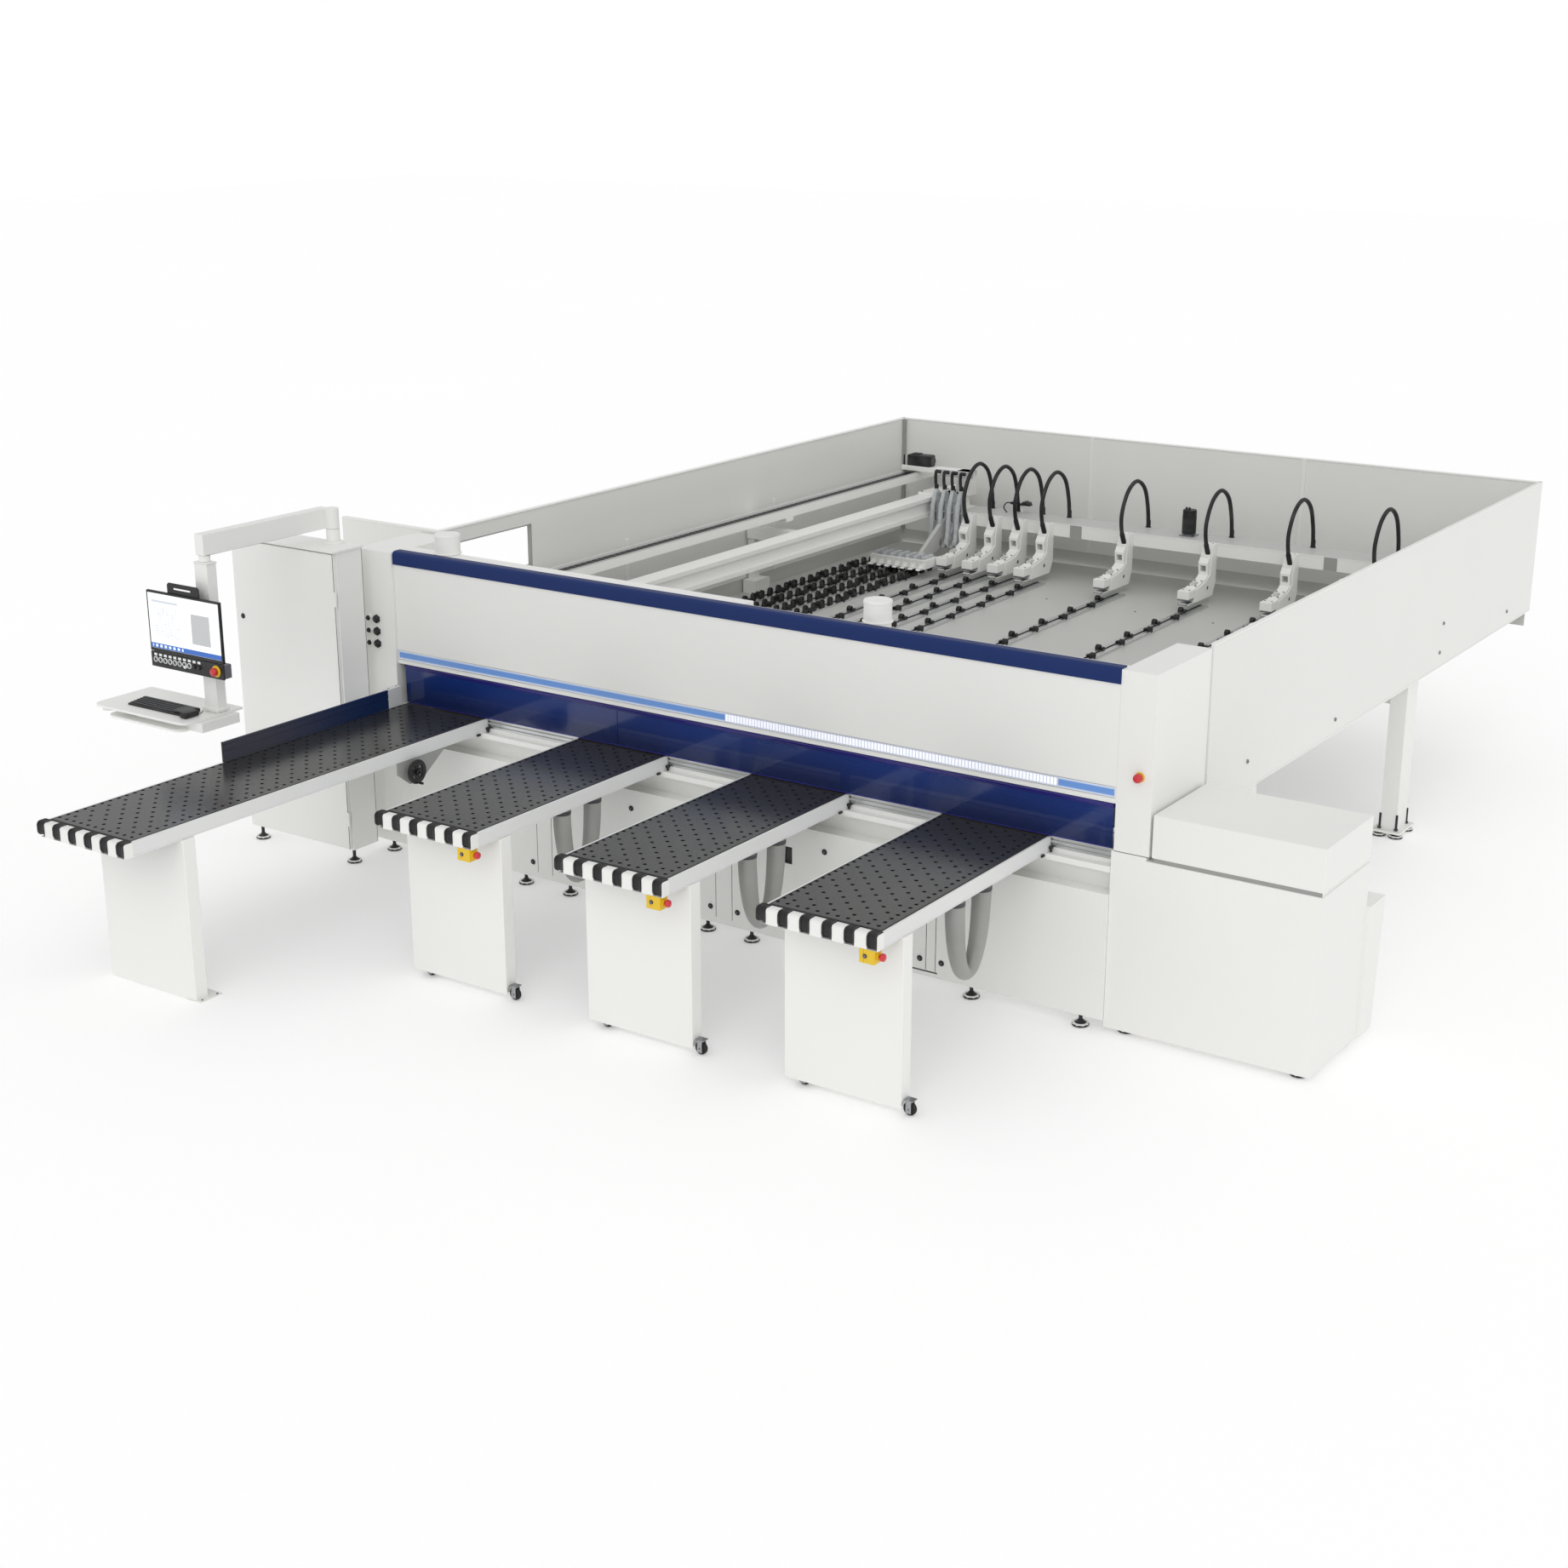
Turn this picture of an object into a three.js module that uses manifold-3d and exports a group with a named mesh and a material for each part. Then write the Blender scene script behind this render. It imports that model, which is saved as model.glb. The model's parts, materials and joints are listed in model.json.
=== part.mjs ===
// Panel-sizing beam saw: four air-cushion tables in front, a saw beam across the machine,
// and a fenced roller bed behind it with a gripper pusher.
// Millimetres, +Z up. Inside the machine group x = 0 is the line of the fence, y = 0 the front
// edge of the bed and z = 0 the floor; the group is then moved over the middle of its own box.
import * as THREE from "three";
import { mergeVertices } from "three/addons/utils/BufferGeometryUtils.js";
import Module from "manifold-3d";

const wasm = await Module();
wasm.setup();

// Clearances shared by every piece
const workHeight = 1000;
const seat = 0.3;
const bite = 1;
const overrun = 4;

// Front tables
const tableWidth = 630;
const tableLength = 1630;
const longTableLength = 2737;
const firstTablePitch = 1364;
const tablePitch = 1237;
const tableDepth = 83;
const tableRailWidth = 14;
const tableBackGap = 2;
const topThickness = 10;
const topClearance = 0.5;
const noseDepth = 56;
const noseDrop = 4;
const shoeCount = 6;
const shoeWidth = 52;
const shoeInset = 20;
const shoeHeight = 80;
const shoeProud = 5;
const shoeCorner = 26;
const shoeClearance = 1.5;
const shoeArcSteps = 2;
const shaftSides = 6;

// Table legs and castors
const legThickness = 85;
const legInset = 245;
const longLegInset = 402;
const legOverhang = 8;
const legFloorGap = 14;
const castorRadius = 35;
const castorWidth = 24;
const axleRadius = 6.5;
const castorInset = 72;
const castorOutset = 48;
const castorNotch = 9;
const forkPlate = 5;
const forkGap = 4;
const axleFit = 0.5;
const castorSides = 14;
const soleLength = 70;
const soleThickness = 8;

// Air hose under a table
const hoseRadius = 43;
const hoseInset = 90;
const hoseFrontSetback = 905;
const hoseBackSetback = 640;
const hoseDrop = 470;
const hoseBottomSpan = 130;
const hoseNeckShare = 0.2;
const hoseWaistShare = 0.35;
const hoseCurveShare = 0.16;
const hoseSides = 8;
const hoseSteps = 14;

// Emergency stop on a table
const stopBoxWidth = 85;
const stopBoxHeight = 72;
const stopBoxDepth = 68;
const stopBoxRightInset = 18;
const stopCollarRadius = 19;
const stopCollarLength = 8;
const stopHeadRadius = 20;
const stopHeadLength = 22;
const stopStemRadius = 9;
const stopTravel = 4;
const stopSides = 10;

// Fence and handwheel of the long table
const fenceThickness = 9;
const fenceHeight = 120;
const fenceFrontSetback = 1524;
const fenceBackSetback = 185;
const fenceBlockWidth = 46;
const fenceBlockBackSetback = 66;
const fenceFoot = 13;
const fenceFootHeight = 20;
const wheelSetback = 680;
const wheelDrop = 71;
const wheelRimRadius = 73;
const wheelRimWall = 16;
const wheelRimWidth = 15;
const wheelRimSides = 16;
const wheelHubRadius = 18;
const wheelHubLength = 46;
const wheelStandOff = 24;
const crankRadius = 8;
const crankLength = 42;
const gussetThickness = 6;
const gussetDepth = 150;
const gussetFrontReach = 120;
const gussetBackReach = 290;
const gussetBackShare = 0.8;
const clampRadius = 15;
const clampHeight = 22;
const clampSetback = 150;

// Bed under the beam
const bedLeft = -40;
const bedRight = 4842;
const bedDepth = 650;
const bedThickness = 60;
const slotWidth = 14;
const slotY = 220;
const slotEndMargin = 90;
const ledgeDepth = 48;
const ledgeHeight = 32;

// Base trough, left tower and levelling feet
const baseFront = -60;
const baseBack = 610;
const baseBottom = 75;
const baseShoulderDrop = 232;
const baseShoulderY = 30;
const baseWall = 30;
const baseFloor = 150;
const doorSeamXs = [1050, 1164, 2380, 2494, 3782, 3841];
const doorSeamBottom = 110;
const seamWidth = 5;
const seamDepth = 4;
const lockRadius = 15;
const lockHeight = 170;
const upperLockDrop = 113;
const upperLockXs = [1777, 3123];
const lockInset = 38;
const lockDepth = 6;
const lockSides = 8;
const kickWidth = 60;
const kickHeight = 100;
const kickDepth = 14;
const kickX = 2878;
const kickZ = 588;
const footXs = [90, 914, 1262, 2290, 2600, 4044, 4700];
const footRadius = 45;
const footPad = 16;
const footStud = 10;
const footSides = 8;
const footInset = 45;
const towerLeft = -330;
const towerFront = -60;
const towerBack = 500;
const towerTopRise = 950;
const glandRadius = 24;
const glandLength = 14;
const glandXs = [-246, -183];
const glandRises = [519, 441, 363];

// Beam cover over the saw line
const beamFront = -40;
const beamTopRise = 950;
const beamLipRise = 254;
const beamCrestDepth = 62;
const beamBodyTopRise = 840;
const beamBodyBack = 430;
const beamBodyBottomRise = 300;
const beamWall = 12;
const beamTrimHeight = 75;
const beamTrimRadius = 26;
const beamTrimProud = 8;
const stripTopRise = 337;
const stripBottomRise = 284;
const stripRecess = 5;
const topBoxRight = 2506;
const topBoxBack = 150;
const topBoxDrop = 2;
const ductXs = [255, 3330];
const ductY = 130;
const ductRadius = 75;
const ductHeight = 120;
const ductSides = 16;
const trimArcSteps = 5;
const towerGap = 0.6;

// Curtain
const curtainRodRadius = 11;
const curtainRodRise = 240;
const curtainY = -24;
const curtainThickness = 6;
const curtainFloorGap = 8;
const curtainFenceGap = 2;
const curtainEndGap = 12;
const curtainRodSides = 10;

// Pressure beam
const pressureLeft = 60;
const pressureRight = 4790;
const pressureWidth = 180;
const pressureGap = 60;
const pressureHeight = 170;
const pressureGroove = 34;
const pressureGrooveDepth = 90;
const pressurePostRadius = 22;
const pressurePostRise = 260;
const pressurePostXs = [500, 2425, 4350];

// Right tower and blade box
const rightTowerLeft = 4855;
const rightTowerRight = 5050;
const rightTowerFront = -40;
const rightTowerBack = 600;
const rightTowerBottomRise = 4;
const boxLeft = 4843;
const boxRight = 5970;
const boxFront = -40;
const boxBack = 585;
const boxTopDrop = 18;
const boxBottom = 34;
const boxRimInset = 8;
const boxRimHeight = 22;
const boxWellLeft = 5150;
const boxWellWall = 40;
const boxWellFloorDrop = 360;
const boxLegRadius = 45;
const stepBack = 800;
const stepBottomBack = 735;
const stepTopDrop = 255;
const stepLeft = 5120;
const stepOverhang = 20;
const lidLeft = 5063;
const lidHeight = 228;
const lidGap = 26;
const lidWall = 14;
const towerStopX = 4980;
const towerStopRise = 415;
const towerStopRadius = 24;
const towerStopLength = 30;

// Saw unit
const bladeRadius = 200;
const bladeThickness = 4;
const bladeTeeth = 20;
const toothDepth = 9;
const toothTipShare = 0.3;
const toothRootShare = 0.5;
const toothBackShare = 0.97;
const scoringRadius = 100;
const scoringTeeth = 12;
const bladeRestGap = 12;
const liftTravel = 140;
const scoringProud = 2;
const hubRadius = 32;
const hubLength = 16;
const carriageLeft = 110;
const carriageLength = 560;
const carriageFront = 70;
const carriageBack = 480;
const carriageShare = 0.396;
const carriageRailWidth = 34;
const carriageRailShare = 0.165;
const carriageRailInset = 60;
const mastThickness = 50;
const mastTopDrop = 275;
const liftThickness = 40;
const liftGap = 3;
const motorRadius = 65;
const scoringMotorRadius = 30;
const motorSides = 14;
const smallMotorSides = 10;
const hubSides = 12;
const scoringOffset = 330;
const bladeInset = 390;

// Rear guards
const guardThickness = 25;
const guardBottomRise = 50;
const guardTopRise = 970;
const guardLeft = -190;
const guardRight = 5060;
const rightGuardThickness = 20;
const guardBack = 6155;
const guardLeftStart = 509;
const guardRightStart = 606;
const windowFront = 693;
const windowBack = 1392;
const windowBottomRise = 596;
const windowTopRise = 871;
const wingLeft = -1011;
const guardSeamYs = [1130, 2411, 4230];
const ribWidth = 40;
const ribProud = 14;

// Rear frame
const frameFront = 700;
const frameBack = 6100;
const frameBeamWidth = 110;
const frameBeamHeight = 100;
const frameTopDrop = 62;
const frameLeft = -150;
const frameRight = 5015;
const frameInset = 210;
const crossYs = [980, 2330, 3700, 5060];
const crossWidth = 90;
const crossDrop = 70;
const legYs = [1300, 3895];
const legWidth = 190;
const legPlateMargin = 40;
const legPlateThickness = 14;
const legPlateZ = 30;
const guideLeft = 330;
const guideWidth = 150;
const guideBottomRise = 330;
const guideHeight = 150;
const guideLip = 30;
const trayLeft = 70;
const trayWidth = 140;
const trayBottomRise = 550;
const trayHeight = 70;
const trayWall = 8;
const guidePostWidth = 60;
const rightGuideBottomRise = 150;
const rightGuideHeight = 120;

// Roller bed
const rollerRailXs = [895, 1109, 1337, 1559, 2238, 2910, 3467, 4135];
const denseRailCount = 4;
const denseRailFirst = 80;
const denseRailPitch = 180;
const railWidth = 100;
const railTopDrop = 34;
const railEdge = 4;
const railFront = 720;
const railBack = 5330;
const bedWheelRadius = 24;
const bedWheelWidth = 24;
const bedWheelPitch = 440;
const bedWheelFirst = 855;
const bedWheelSides = 6;
const deckThickness = 8;
const deckBack = 6090;
const deckRight = 4890;
const deckTopDrop = 50;

// Pusher with grippers
const pusherFront = 5540;
const pusherDepth = 277;
const pusherBottomRise = 287;
const pusherTopRise = 387;
const pusherLeft = 500;
const pusherRight = 4890;
const pusherTrayDepth = 180;
const pusherTrayWall = 8;
const pusherTrayHeight = 36;
const carrierThickness = 20;
const gripperXs = [829, 1057, 1280, 1511, 2186, 2869, 3508, 4150];
const gripperWidth = 92;
const gripperBottomGap = 4;
const gripperReach = 470;
const gripperTongue = 110;
const tongueThickness = 9;
const jawHeight = 72;
const jawTravel = 20;
const jawClearance = 4;
const headShares = [[0.5, 0], [1.55, 1.4], [1.4, 2.4], [2, 2.65]];
const gripperWindow = 46;
const windowShares = [1.6, 2.1];
const gripperEyeRadius = 15;
const eyeShares = [1.5, 0.8];
const eyeSides = 10;
const loopShares = [
  [-0.95, -0.8], [-1.3, 0.43], [-1.3, 1.85], [-0.6, 3.48], [0.6, 4.18], [1.9, 3.37],
  [2.55, 1.63], [2.75, -0.02],
];
const loopOffset = 20;
const loopRadius = 14;
const loopSides = 6;
const loopSteps = 12;
const motorCanX = 2610;
const motorCanRadius = 48;
const motorCanHeight = 190;
const headBoxLeft = 70;
const headBoxWidth = 640;
const headBoxDepth = 110;
const headBoxTopRise = 670;
const headMotorRadius = 48;
const headMotorLength = 190;
const headMotorSink = 8;
const headPostWidth = 130;
const trayClearance = 10;
const compactXs = [525, 600, 675, 750];
const compactWidth = 34;
const compactBottomRise = 120;
const compactTopRise = 560;
const compactDepth = 130;
const compactJawShare = 0.7;
const compactTopShare = 0.4;
const compactBackShare = 0.8;
const combLeft = 270;
const combWidth = 500;
const combFront = 4930;
const combDepth = 190;
const combBottomRise = 30;
const combHeight = 72;
const combFingers = 7;
const combFingerWidth = 38;
const combFingerLength = 60;

// Control cabinet
const cabinetLeft = -1085;
const cabinetRight = -190;
const cabinetFront = -390;
const cabinetBack = -155;
const cabinetBottom = 92;
const cabinetTop = 1985;
const cabinetFootInset = 40;
const cabinetLip = 10;
const doorThickness = 22;
const doorMargin = 12;
const doorLockInset = 60;
const doorLockZ = 1490;

// Console on its swinging arm
const postX = -375;
const postY = -200;
const postRadius = 42;
const postHeight = 102;
const armWidth = 70;
const armHeight = 125;
const armOffset = 60;
const stubHeight = 40;
const armReach = 970;
const armClearance = 1;
const columnWidth = 105;
const columnDepth = 70;
const trayTop = 1150;
const monitorWidth = 615;
const monitorHeight = 365;
const monitorThickness = 45;
const monitorBottom = 1485;
const monitorOffset = -100;
const monitorStandOff = 26;
const bezel = 22;
const screenRecess = 3;
const panelHeight = 92;
const panelDepth = 62;
const panelGap = 3;
const ringCount = 8;
const ringRadius = 17;
const ringProud = 7;
const ringPitch = 41;
const ringSides = 8;
const panelStopInset = 62;
const keyTrayWidth = 800;
const keyTrayDepth = 450;
const keyTrayThickness = 14;
const keyTrayCorner = 60;
const plateArcSteps = 4;
const keyTrayShift = -342;
const keyTrayForward = 110;
const shelfDrop = 62;
const shelfShare = 0.8;
const keyboardWidth = 440;
const keyboardDepth = 140;
const keyboardHeight = 24;
const keyboardTilt = 10;
const keyboardLeftShare = 0.7;
const keyboardRightShare = 0.3;
const mouseWidth = 62;
const mouseLength = 105;
const mouseHeight = 34;
const bracketWidth = 210;
const bracketHeight = 62;
const bracketThickness = 6;
const bracketSlot = 14;
const slotLeftShare = 0.3;
const slotRightShare = 0.4;

// Heights that follow the work height, above and below it
const towerTop = workHeight + towerTopRise;
const beamTop = workHeight + beamTopRise;
const beamLip = workHeight + beamLipRise;
const beamBodyTop = workHeight + beamBodyTopRise;
const beamBodyBottom = workHeight + beamBodyBottomRise;
const stripTop = workHeight + stripTopRise;
const stripBottom = workHeight + stripBottomRise;
const curtainRodZ = workHeight + curtainRodRise;
const rightTowerBottom = workHeight + rightTowerBottomRise;
const towerStopZ = workHeight + towerStopRise;
const guardBottom = workHeight + guardBottomRise;
const guardTop = workHeight + guardTopRise;
const windowBottom = workHeight + windowBottomRise;
const windowTop = workHeight + windowTopRise;
const guideBottom = workHeight + guideBottomRise;
const trayBottom = workHeight + trayBottomRise;
const rightGuideBottom = workHeight + rightGuideBottomRise;
const pusherBottom = workHeight + pusherBottomRise;
const pusherTop = workHeight + pusherTopRise;
const headBoxTop = workHeight + headBoxTopRise;
const compactBottom = workHeight + compactBottomRise;
const compactTop = workHeight + compactTopRise;
const combBottom = workHeight + combBottomRise;
const baseShoulder = workHeight - baseShoulderDrop;
const upperLockHeight = baseShoulder - upperLockDrop;
const boxTop = workHeight - boxTopDrop;
const boxWellFloor = workHeight - boxWellFloorDrop;
const stepTop = workHeight - stepTopDrop;
const frameTop = workHeight - frameTopDrop;
const railTop = workHeight - railTopDrop;
const deckTop = workHeight - deckTopDrop;
const glandZs = glandRises.map((rise) => workHeight + rise);

// Looks read from the photograph
const looks = {
  whitePaint: [0xe9eae6, 0.45, 0.0],
  blueTrim: [0x1d3c84, 0.4, 0.0],
  lightGrey: [0xb9bab6, 0.5, 0.1],
  aluminium: [0xc9cccd, 0.35, 0.8],
  darkPlate: [0x4a4c4d, 0.4, 0.3],
  steel: [0x8d9092, 0.35, 0.9],
  blackPlastic: [0x1f2022, 0.5, 0.0],
  greyHose: [0x83847f, 0.6, 0.0],
  stripBlue: [0x8fb6e8, 0.3, 0.0],
  curtainBlue: [0x14205c, 0.25, 0.0],
  fenceBlue: [0x2f3f5c, 0.4, 0.3],
  stopRed: [0xc9202a, 0.4, 0.0],
  monitorDark: [0x2a2c30, 0.3, 0.0],
};

const machine = new THREE.Group();

function solidOf(geometry) {
  geometry.deleteAttribute("normal");
  geometry.deleteAttribute("uv");
  const merged = mergeVertices(geometry);
  const vertProperties = new Float32Array(merged.attributes.position.array);
  const triVerts = new Uint32Array(merged.index.array);
  return new wasm.Manifold(new wasm.Mesh({ numProp: 3, vertProperties, triVerts }));
}

function geometryOf(solid) {
  const mesh = solid.getMesh();
  const geometry = new THREE.BufferGeometry();
  geometry.setAttribute("position", new THREE.BufferAttribute(mesh.vertProperties, 3));
  geometry.setIndex(new THREE.BufferAttribute(mesh.triVerts, 1));
  return geometry;
}

function fuse(pieces) {
  return pieces.reduce((whole, piece) => whole.add(piece));
}

function cut(body, tools) {
  return body.subtract(fuse(tools));
}

function block(x0, x1, y0, y1, z0, z1) {
  const geometry = new THREE.BoxGeometry(x1 - x0, y1 - y0, z1 - z0);
  geometry.translate((x0 + x1) / 2, (y0 + y1) / 2, (z0 + z1) / 2);
  return solidOf(geometry);
}

function ring(radius, sides, start = 0) {
  const shape = new THREE.Shape();
  for (let i = 0; i < sides; i += 1) {
    const angle = start + (2 * Math.PI * i) / sides;
    const corner = [radius * Math.cos(angle), radius * Math.sin(angle)];
    if (i === 0) shape.moveTo(...corner);
    else shape.lineTo(...corner);
  }
  shape.closePath();
  return shape;
}

// A round bar whose middle is at centre and which lies along x, y or z, with a corner straight down
function bar(axis, centre, radius, length, sides) {
  const start = axis === "y" ? Math.PI / 2 : 0;
  const geometry = new THREE.ExtrudeGeometry(ring(radius, sides, start), {
    depth: length, bevelEnabled: false,
  });
  geometry.translate(0, 0, -length / 2);
  if (axis === "x") geometry.rotateY(Math.PI / 2);
  if (axis === "y") geometry.rotateX(-Math.PI / 2);
  geometry.translate(...centre);
  return solidOf(geometry);
}

// An outline of [y, z] points pushed along x
function slabAlongX(outline, x0, x1) {
  const shape = new THREE.Shape(outline.map(([y, z]) => new THREE.Vector2(y, z)));
  const geometry = new THREE.ExtrudeGeometry(shape, { depth: x1 - x0, bevelEnabled: false });
  const turn = new THREE.Matrix4().makeBasis(
    new THREE.Vector3(0, 1, 0),
    new THREE.Vector3(0, 0, 1),
    new THREE.Vector3(1, 0, 0),
  );
  geometry.applyMatrix4(turn);
  geometry.translate(x0, 0, 0);
  return solidOf(geometry);
}

// An outline in a plane of constant y, pushed along y
function slabAlongY(shape, y0, y1) {
  const geometry = new THREE.ExtrudeGeometry(shape, { depth: y1 - y0, bevelEnabled: false });
  const turn = new THREE.Matrix4().makeBasis(
    new THREE.Vector3(1, 0, 0),
    new THREE.Vector3(0, 0, 1),
    new THREE.Vector3(0, -1, 0),
  );
  geometry.applyMatrix4(turn);
  geometry.translate(0, y1, 0);
  return solidOf(geometry);
}

// A tube that follows a list of points
function tube(points, radius, sides, steps) {
  const path = new THREE.CatmullRomCurve3(points.map((point) => new THREE.Vector3(...point)));
  return solidOf(new THREE.ExtrudeGeometry(ring(radius, sides), {
    steps, extrudePath: path,
  }));
}

function addPart(name, solid, look, parent = machine) {
  const [color, roughness, metalness] = looks[look];
  const material = new THREE.MeshStandardMaterial({ color, roughness, metalness });
  const mesh = new THREE.Mesh(geometryOf(solid), material);
  mesh.name = name;
  parent.add(mesh);
  return mesh;
}

// A many-sided bore wide enough for its many-sided axle to turn in
const axleBore = (axleRadius + axleFit) / Math.cos(Math.PI / shaftSides);

// Heights and edges of a table that several of its pieces share
const tableBottom = workHeight - tableDepth;
const tableLeftSide = -tableRailWidth;
const tableRightSide = tableWidth + tableRailWidth;
const shoePitch = (tableWidth - 2 * shoeInset) / (shoeCount - 1);
const legSetback = tableLength - legInset;
const longLegSetback = longTableLength - longLegInset;

function shoeXs() {
  return Array.from({ length: shoeCount }, (_, i) => shoeInset + i * shoePitch);
}

function castorXs() {
  return [castorInset, tableWidth + castorOutset];
}

function tableFrame(length) {
  const box = block(
    tableLeftSide, tableRightSide, -length, -tableBackGap, tableBottom, workHeight,
  );
  const nose = block(
    tableLeftSide, tableRightSide, -length - noseDepth, -length + bite,
    tableBottom, workHeight - noseDrop,
  );
  const recess = block(
    -topClearance, tableWidth + topClearance, -length - topClearance, overrun,
    workHeight - topThickness - seat, workHeight + overrun,
  );
  const gaps = shoeXs().map((x) => block(
    x - shoeWidth / 2 - shoeClearance, x + shoeWidth / 2 + shoeClearance,
    -length - noseDepth - overrun, -length,
    workHeight - shoeHeight - shoeClearance, workHeight + overrun,
  ));
  return cut(fuse([box, nose]), [recess, ...gaps]);
}

function castorFork(x, legMiddle, castorTop) {
  const inner = legMiddle + castorWidth / 2 + forkGap;
  const plate = block(
    x - castorRadius / 2, x + castorRadius / 2, inner, inner + forkPlate,
    castorRadius / 2, castorTop + bite,
  );
  const axle = bar(
    "y", [x, legMiddle + forkGap / 2, castorRadius], axleRadius,
    castorWidth + forkGap + 2 * bite, shaftSides,
  );
  return fuse([plate, axle]);
}

function rollingLeg(setback) {
  const legMiddle = -setback - legThickness / 2;
  const castorTop = 2 * castorRadius + castorNotch;
  const panel = block(
    tableLeftSide - legOverhang, tableRightSide + legOverhang, -setback - legThickness, -setback,
    legFloorGap, tableBottom + bite,
  );
  const notches = castorXs().map((x) => block(
    x - castorRadius - castorNotch, x + castorRadius + castorNotch,
    -setback - legThickness - overrun, -setback + overrun, -overrun, castorTop,
  ));
  const forks = castorXs().map((x) => castorFork(x, legMiddle, castorTop));
  const corner = block(
    tableRightSide - castorRadius, tableWidth + castorOutset + castorRadius / 2,
    legMiddle - castorWidth, legMiddle + castorWidth, castorTop, castorTop + 2 * forkPlate,
  );
  return fuse([cut(panel, notches), ...forks, corner]);
}

function standingLeg(setback) {
  const panel = block(
    tableLeftSide - legOverhang, tableRightSide + legOverhang, -setback - legThickness, -setback,
    0, tableBottom + bite,
  );
  const sole = block(
    tableRightSide - soleLength, tableRightSide + legOverhang + soleLength / 2,
    -setback - legThickness, -setback + soleLength, 0, soleThickness,
  );
  return fuse([panel, sole]);
}

function stopBox(length) {
  const right = tableRightSide - stopBoxRightInset;
  return block(
    right - stopBoxWidth, right, -length - noseDepth + bite, -length - noseDepth + stopBoxDepth,
    tableBottom - stopBoxHeight, tableBottom + bite,
  );
}

function stopCentre(length) {
  return [
    tableRightSide - stopBoxRightInset,
    -length - noseDepth + stopBoxDepth / 2,
    tableBottom - stopBoxHeight / 2,
  ];
}

// A mushroom head on a stem that plunges into a clearance bore, pointing along +x
function stopButton([x, y, z], headRadius, headLength) {
  const stem = bar("x", [x, y, z], stopStemRadius, 2 * stopCollarLength, stopSides);
  const neck = bar(
    "x", [x + stopCollarLength + stopTravel, y, z], stopStemRadius, 2 * stopTravel + bite, stopSides,
  );
  const head = bar(
    "x", [x + stopCollarLength + 2 * stopTravel + headLength / 2, y, z],
    headRadius, headLength, stopSides,
  );
  return fuse([stem, neck, head]);
}

function stopCollar([x, y, z]) {
  return bar("x", [x + stopCollarLength / 2, y, z], stopCollarRadius, stopCollarLength, stopSides);
}

function stopBore([x, y, z]) {
  return bar(
    "x", [x, y, z], stopStemRadius + axleFit, 2 * stopCollarLength + 2 * stopTravel + overrun,
    stopSides,
  );
}

function clampKnob() {
  return bar(
    "z", [tableWidth - clampRadius, -clampSetback, tableBottom - clampHeight / 2 + bite],
    clampRadius, clampHeight, shaftSides,
  );
}

function handwheelGusset() {
  const outline = [
    [-wheelSetback - gussetFrontReach, tableBottom + bite],
    [-wheelSetback - gussetFrontReach, tableBottom - gussetDepth / 2],
    [-wheelSetback - wheelHubRadius, tableBottom - gussetDepth],
    [-wheelSetback + gussetFrontReach, tableBottom - gussetDepth * gussetBackShare],
    [-wheelSetback + gussetBackReach, tableBottom + bite],
  ];
  return slabAlongX(outline, tableRightSide - gussetThickness, tableRightSide);
}

function handwheelPin() {
  return bar(
    "x", [tableRightSide + wheelStandOff / 2 - bite, -wheelSetback, tableBottom - wheelDrop],
    axleRadius, wheelStandOff + 2 * bite, shaftSides,
  );
}

function handwheel() {
  const x = tableRightSide + wheelStandOff;
  const centre = [x + wheelHubLength / 2 - wheelStandOff / 2, -wheelSetback, tableBottom - wheelDrop];
  const rimX = x + wheelRimWidth;
  const disc = bar("x", [rimX, centre[1], centre[2]], wheelRimRadius, wheelRimWidth, wheelRimSides);
  const inside = bar(
    "x", [rimX, centre[1], centre[2]], wheelRimRadius - wheelRimWall,
    wheelRimWidth + overrun, wheelRimSides,
  );
  const spokes = [0, 1].map((turn) => block(
    rimX - wheelRimWidth / 4, rimX + wheelRimWidth / 4,
    centre[1] - (turn ? wheelRimRadius - wheelRimWall / 2 : wheelHubRadius / 2),
    centre[1] + (turn ? wheelRimRadius - wheelRimWall / 2 : wheelHubRadius / 2),
    centre[2] - (turn ? wheelHubRadius / 2 : wheelRimRadius - wheelRimWall / 2),
    centre[2] + (turn ? wheelHubRadius / 2 : wheelRimRadius - wheelRimWall / 2),
  ));
  const hub = bar("x", centre, wheelHubRadius, wheelHubLength, hubSides);
  const bore = bar(
    "x", [tableRightSide + wheelStandOff / 2, centre[1], centre[2]], axleBore,
    wheelStandOff + 2 * overrun, shaftSides,
  );
  const crank = bar(
    "x", [rimX + crankLength / 2, centre[1], centre[2] - wheelRimRadius + wheelRimWall / 2],
    crankRadius, crankLength, shaftSides,
  );
  return cut(fuse([cut(disc, [inside]), ...spokes, hub, crank]), [bore]);
}

// A black shoe that leads panels over the front edge, rounded at the nose
function edgeShoe(x, length) {
  const front = -length - noseDepth - shoeProud;
  const bottom = workHeight - shoeHeight;
  const outline = [[-length - topClearance, bottom], [-length - topClearance, workHeight]];
  [workHeight - shoeCorner, bottom + shoeCorner].forEach((centreZ, end) => {
    for (let i = 0; i <= shoeArcSteps; i += 1) {
      const angle = (Math.PI / 2) * (1 + end + i / shoeArcSteps);
      outline.push([
        front + shoeCorner + shoeCorner * Math.cos(angle),
        centreZ + shoeCorner * Math.sin(angle),
      ]);
    }
  });
  return slabAlongX(outline, x - shoeWidth / 2, x + shoeWidth / 2);
}

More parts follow.
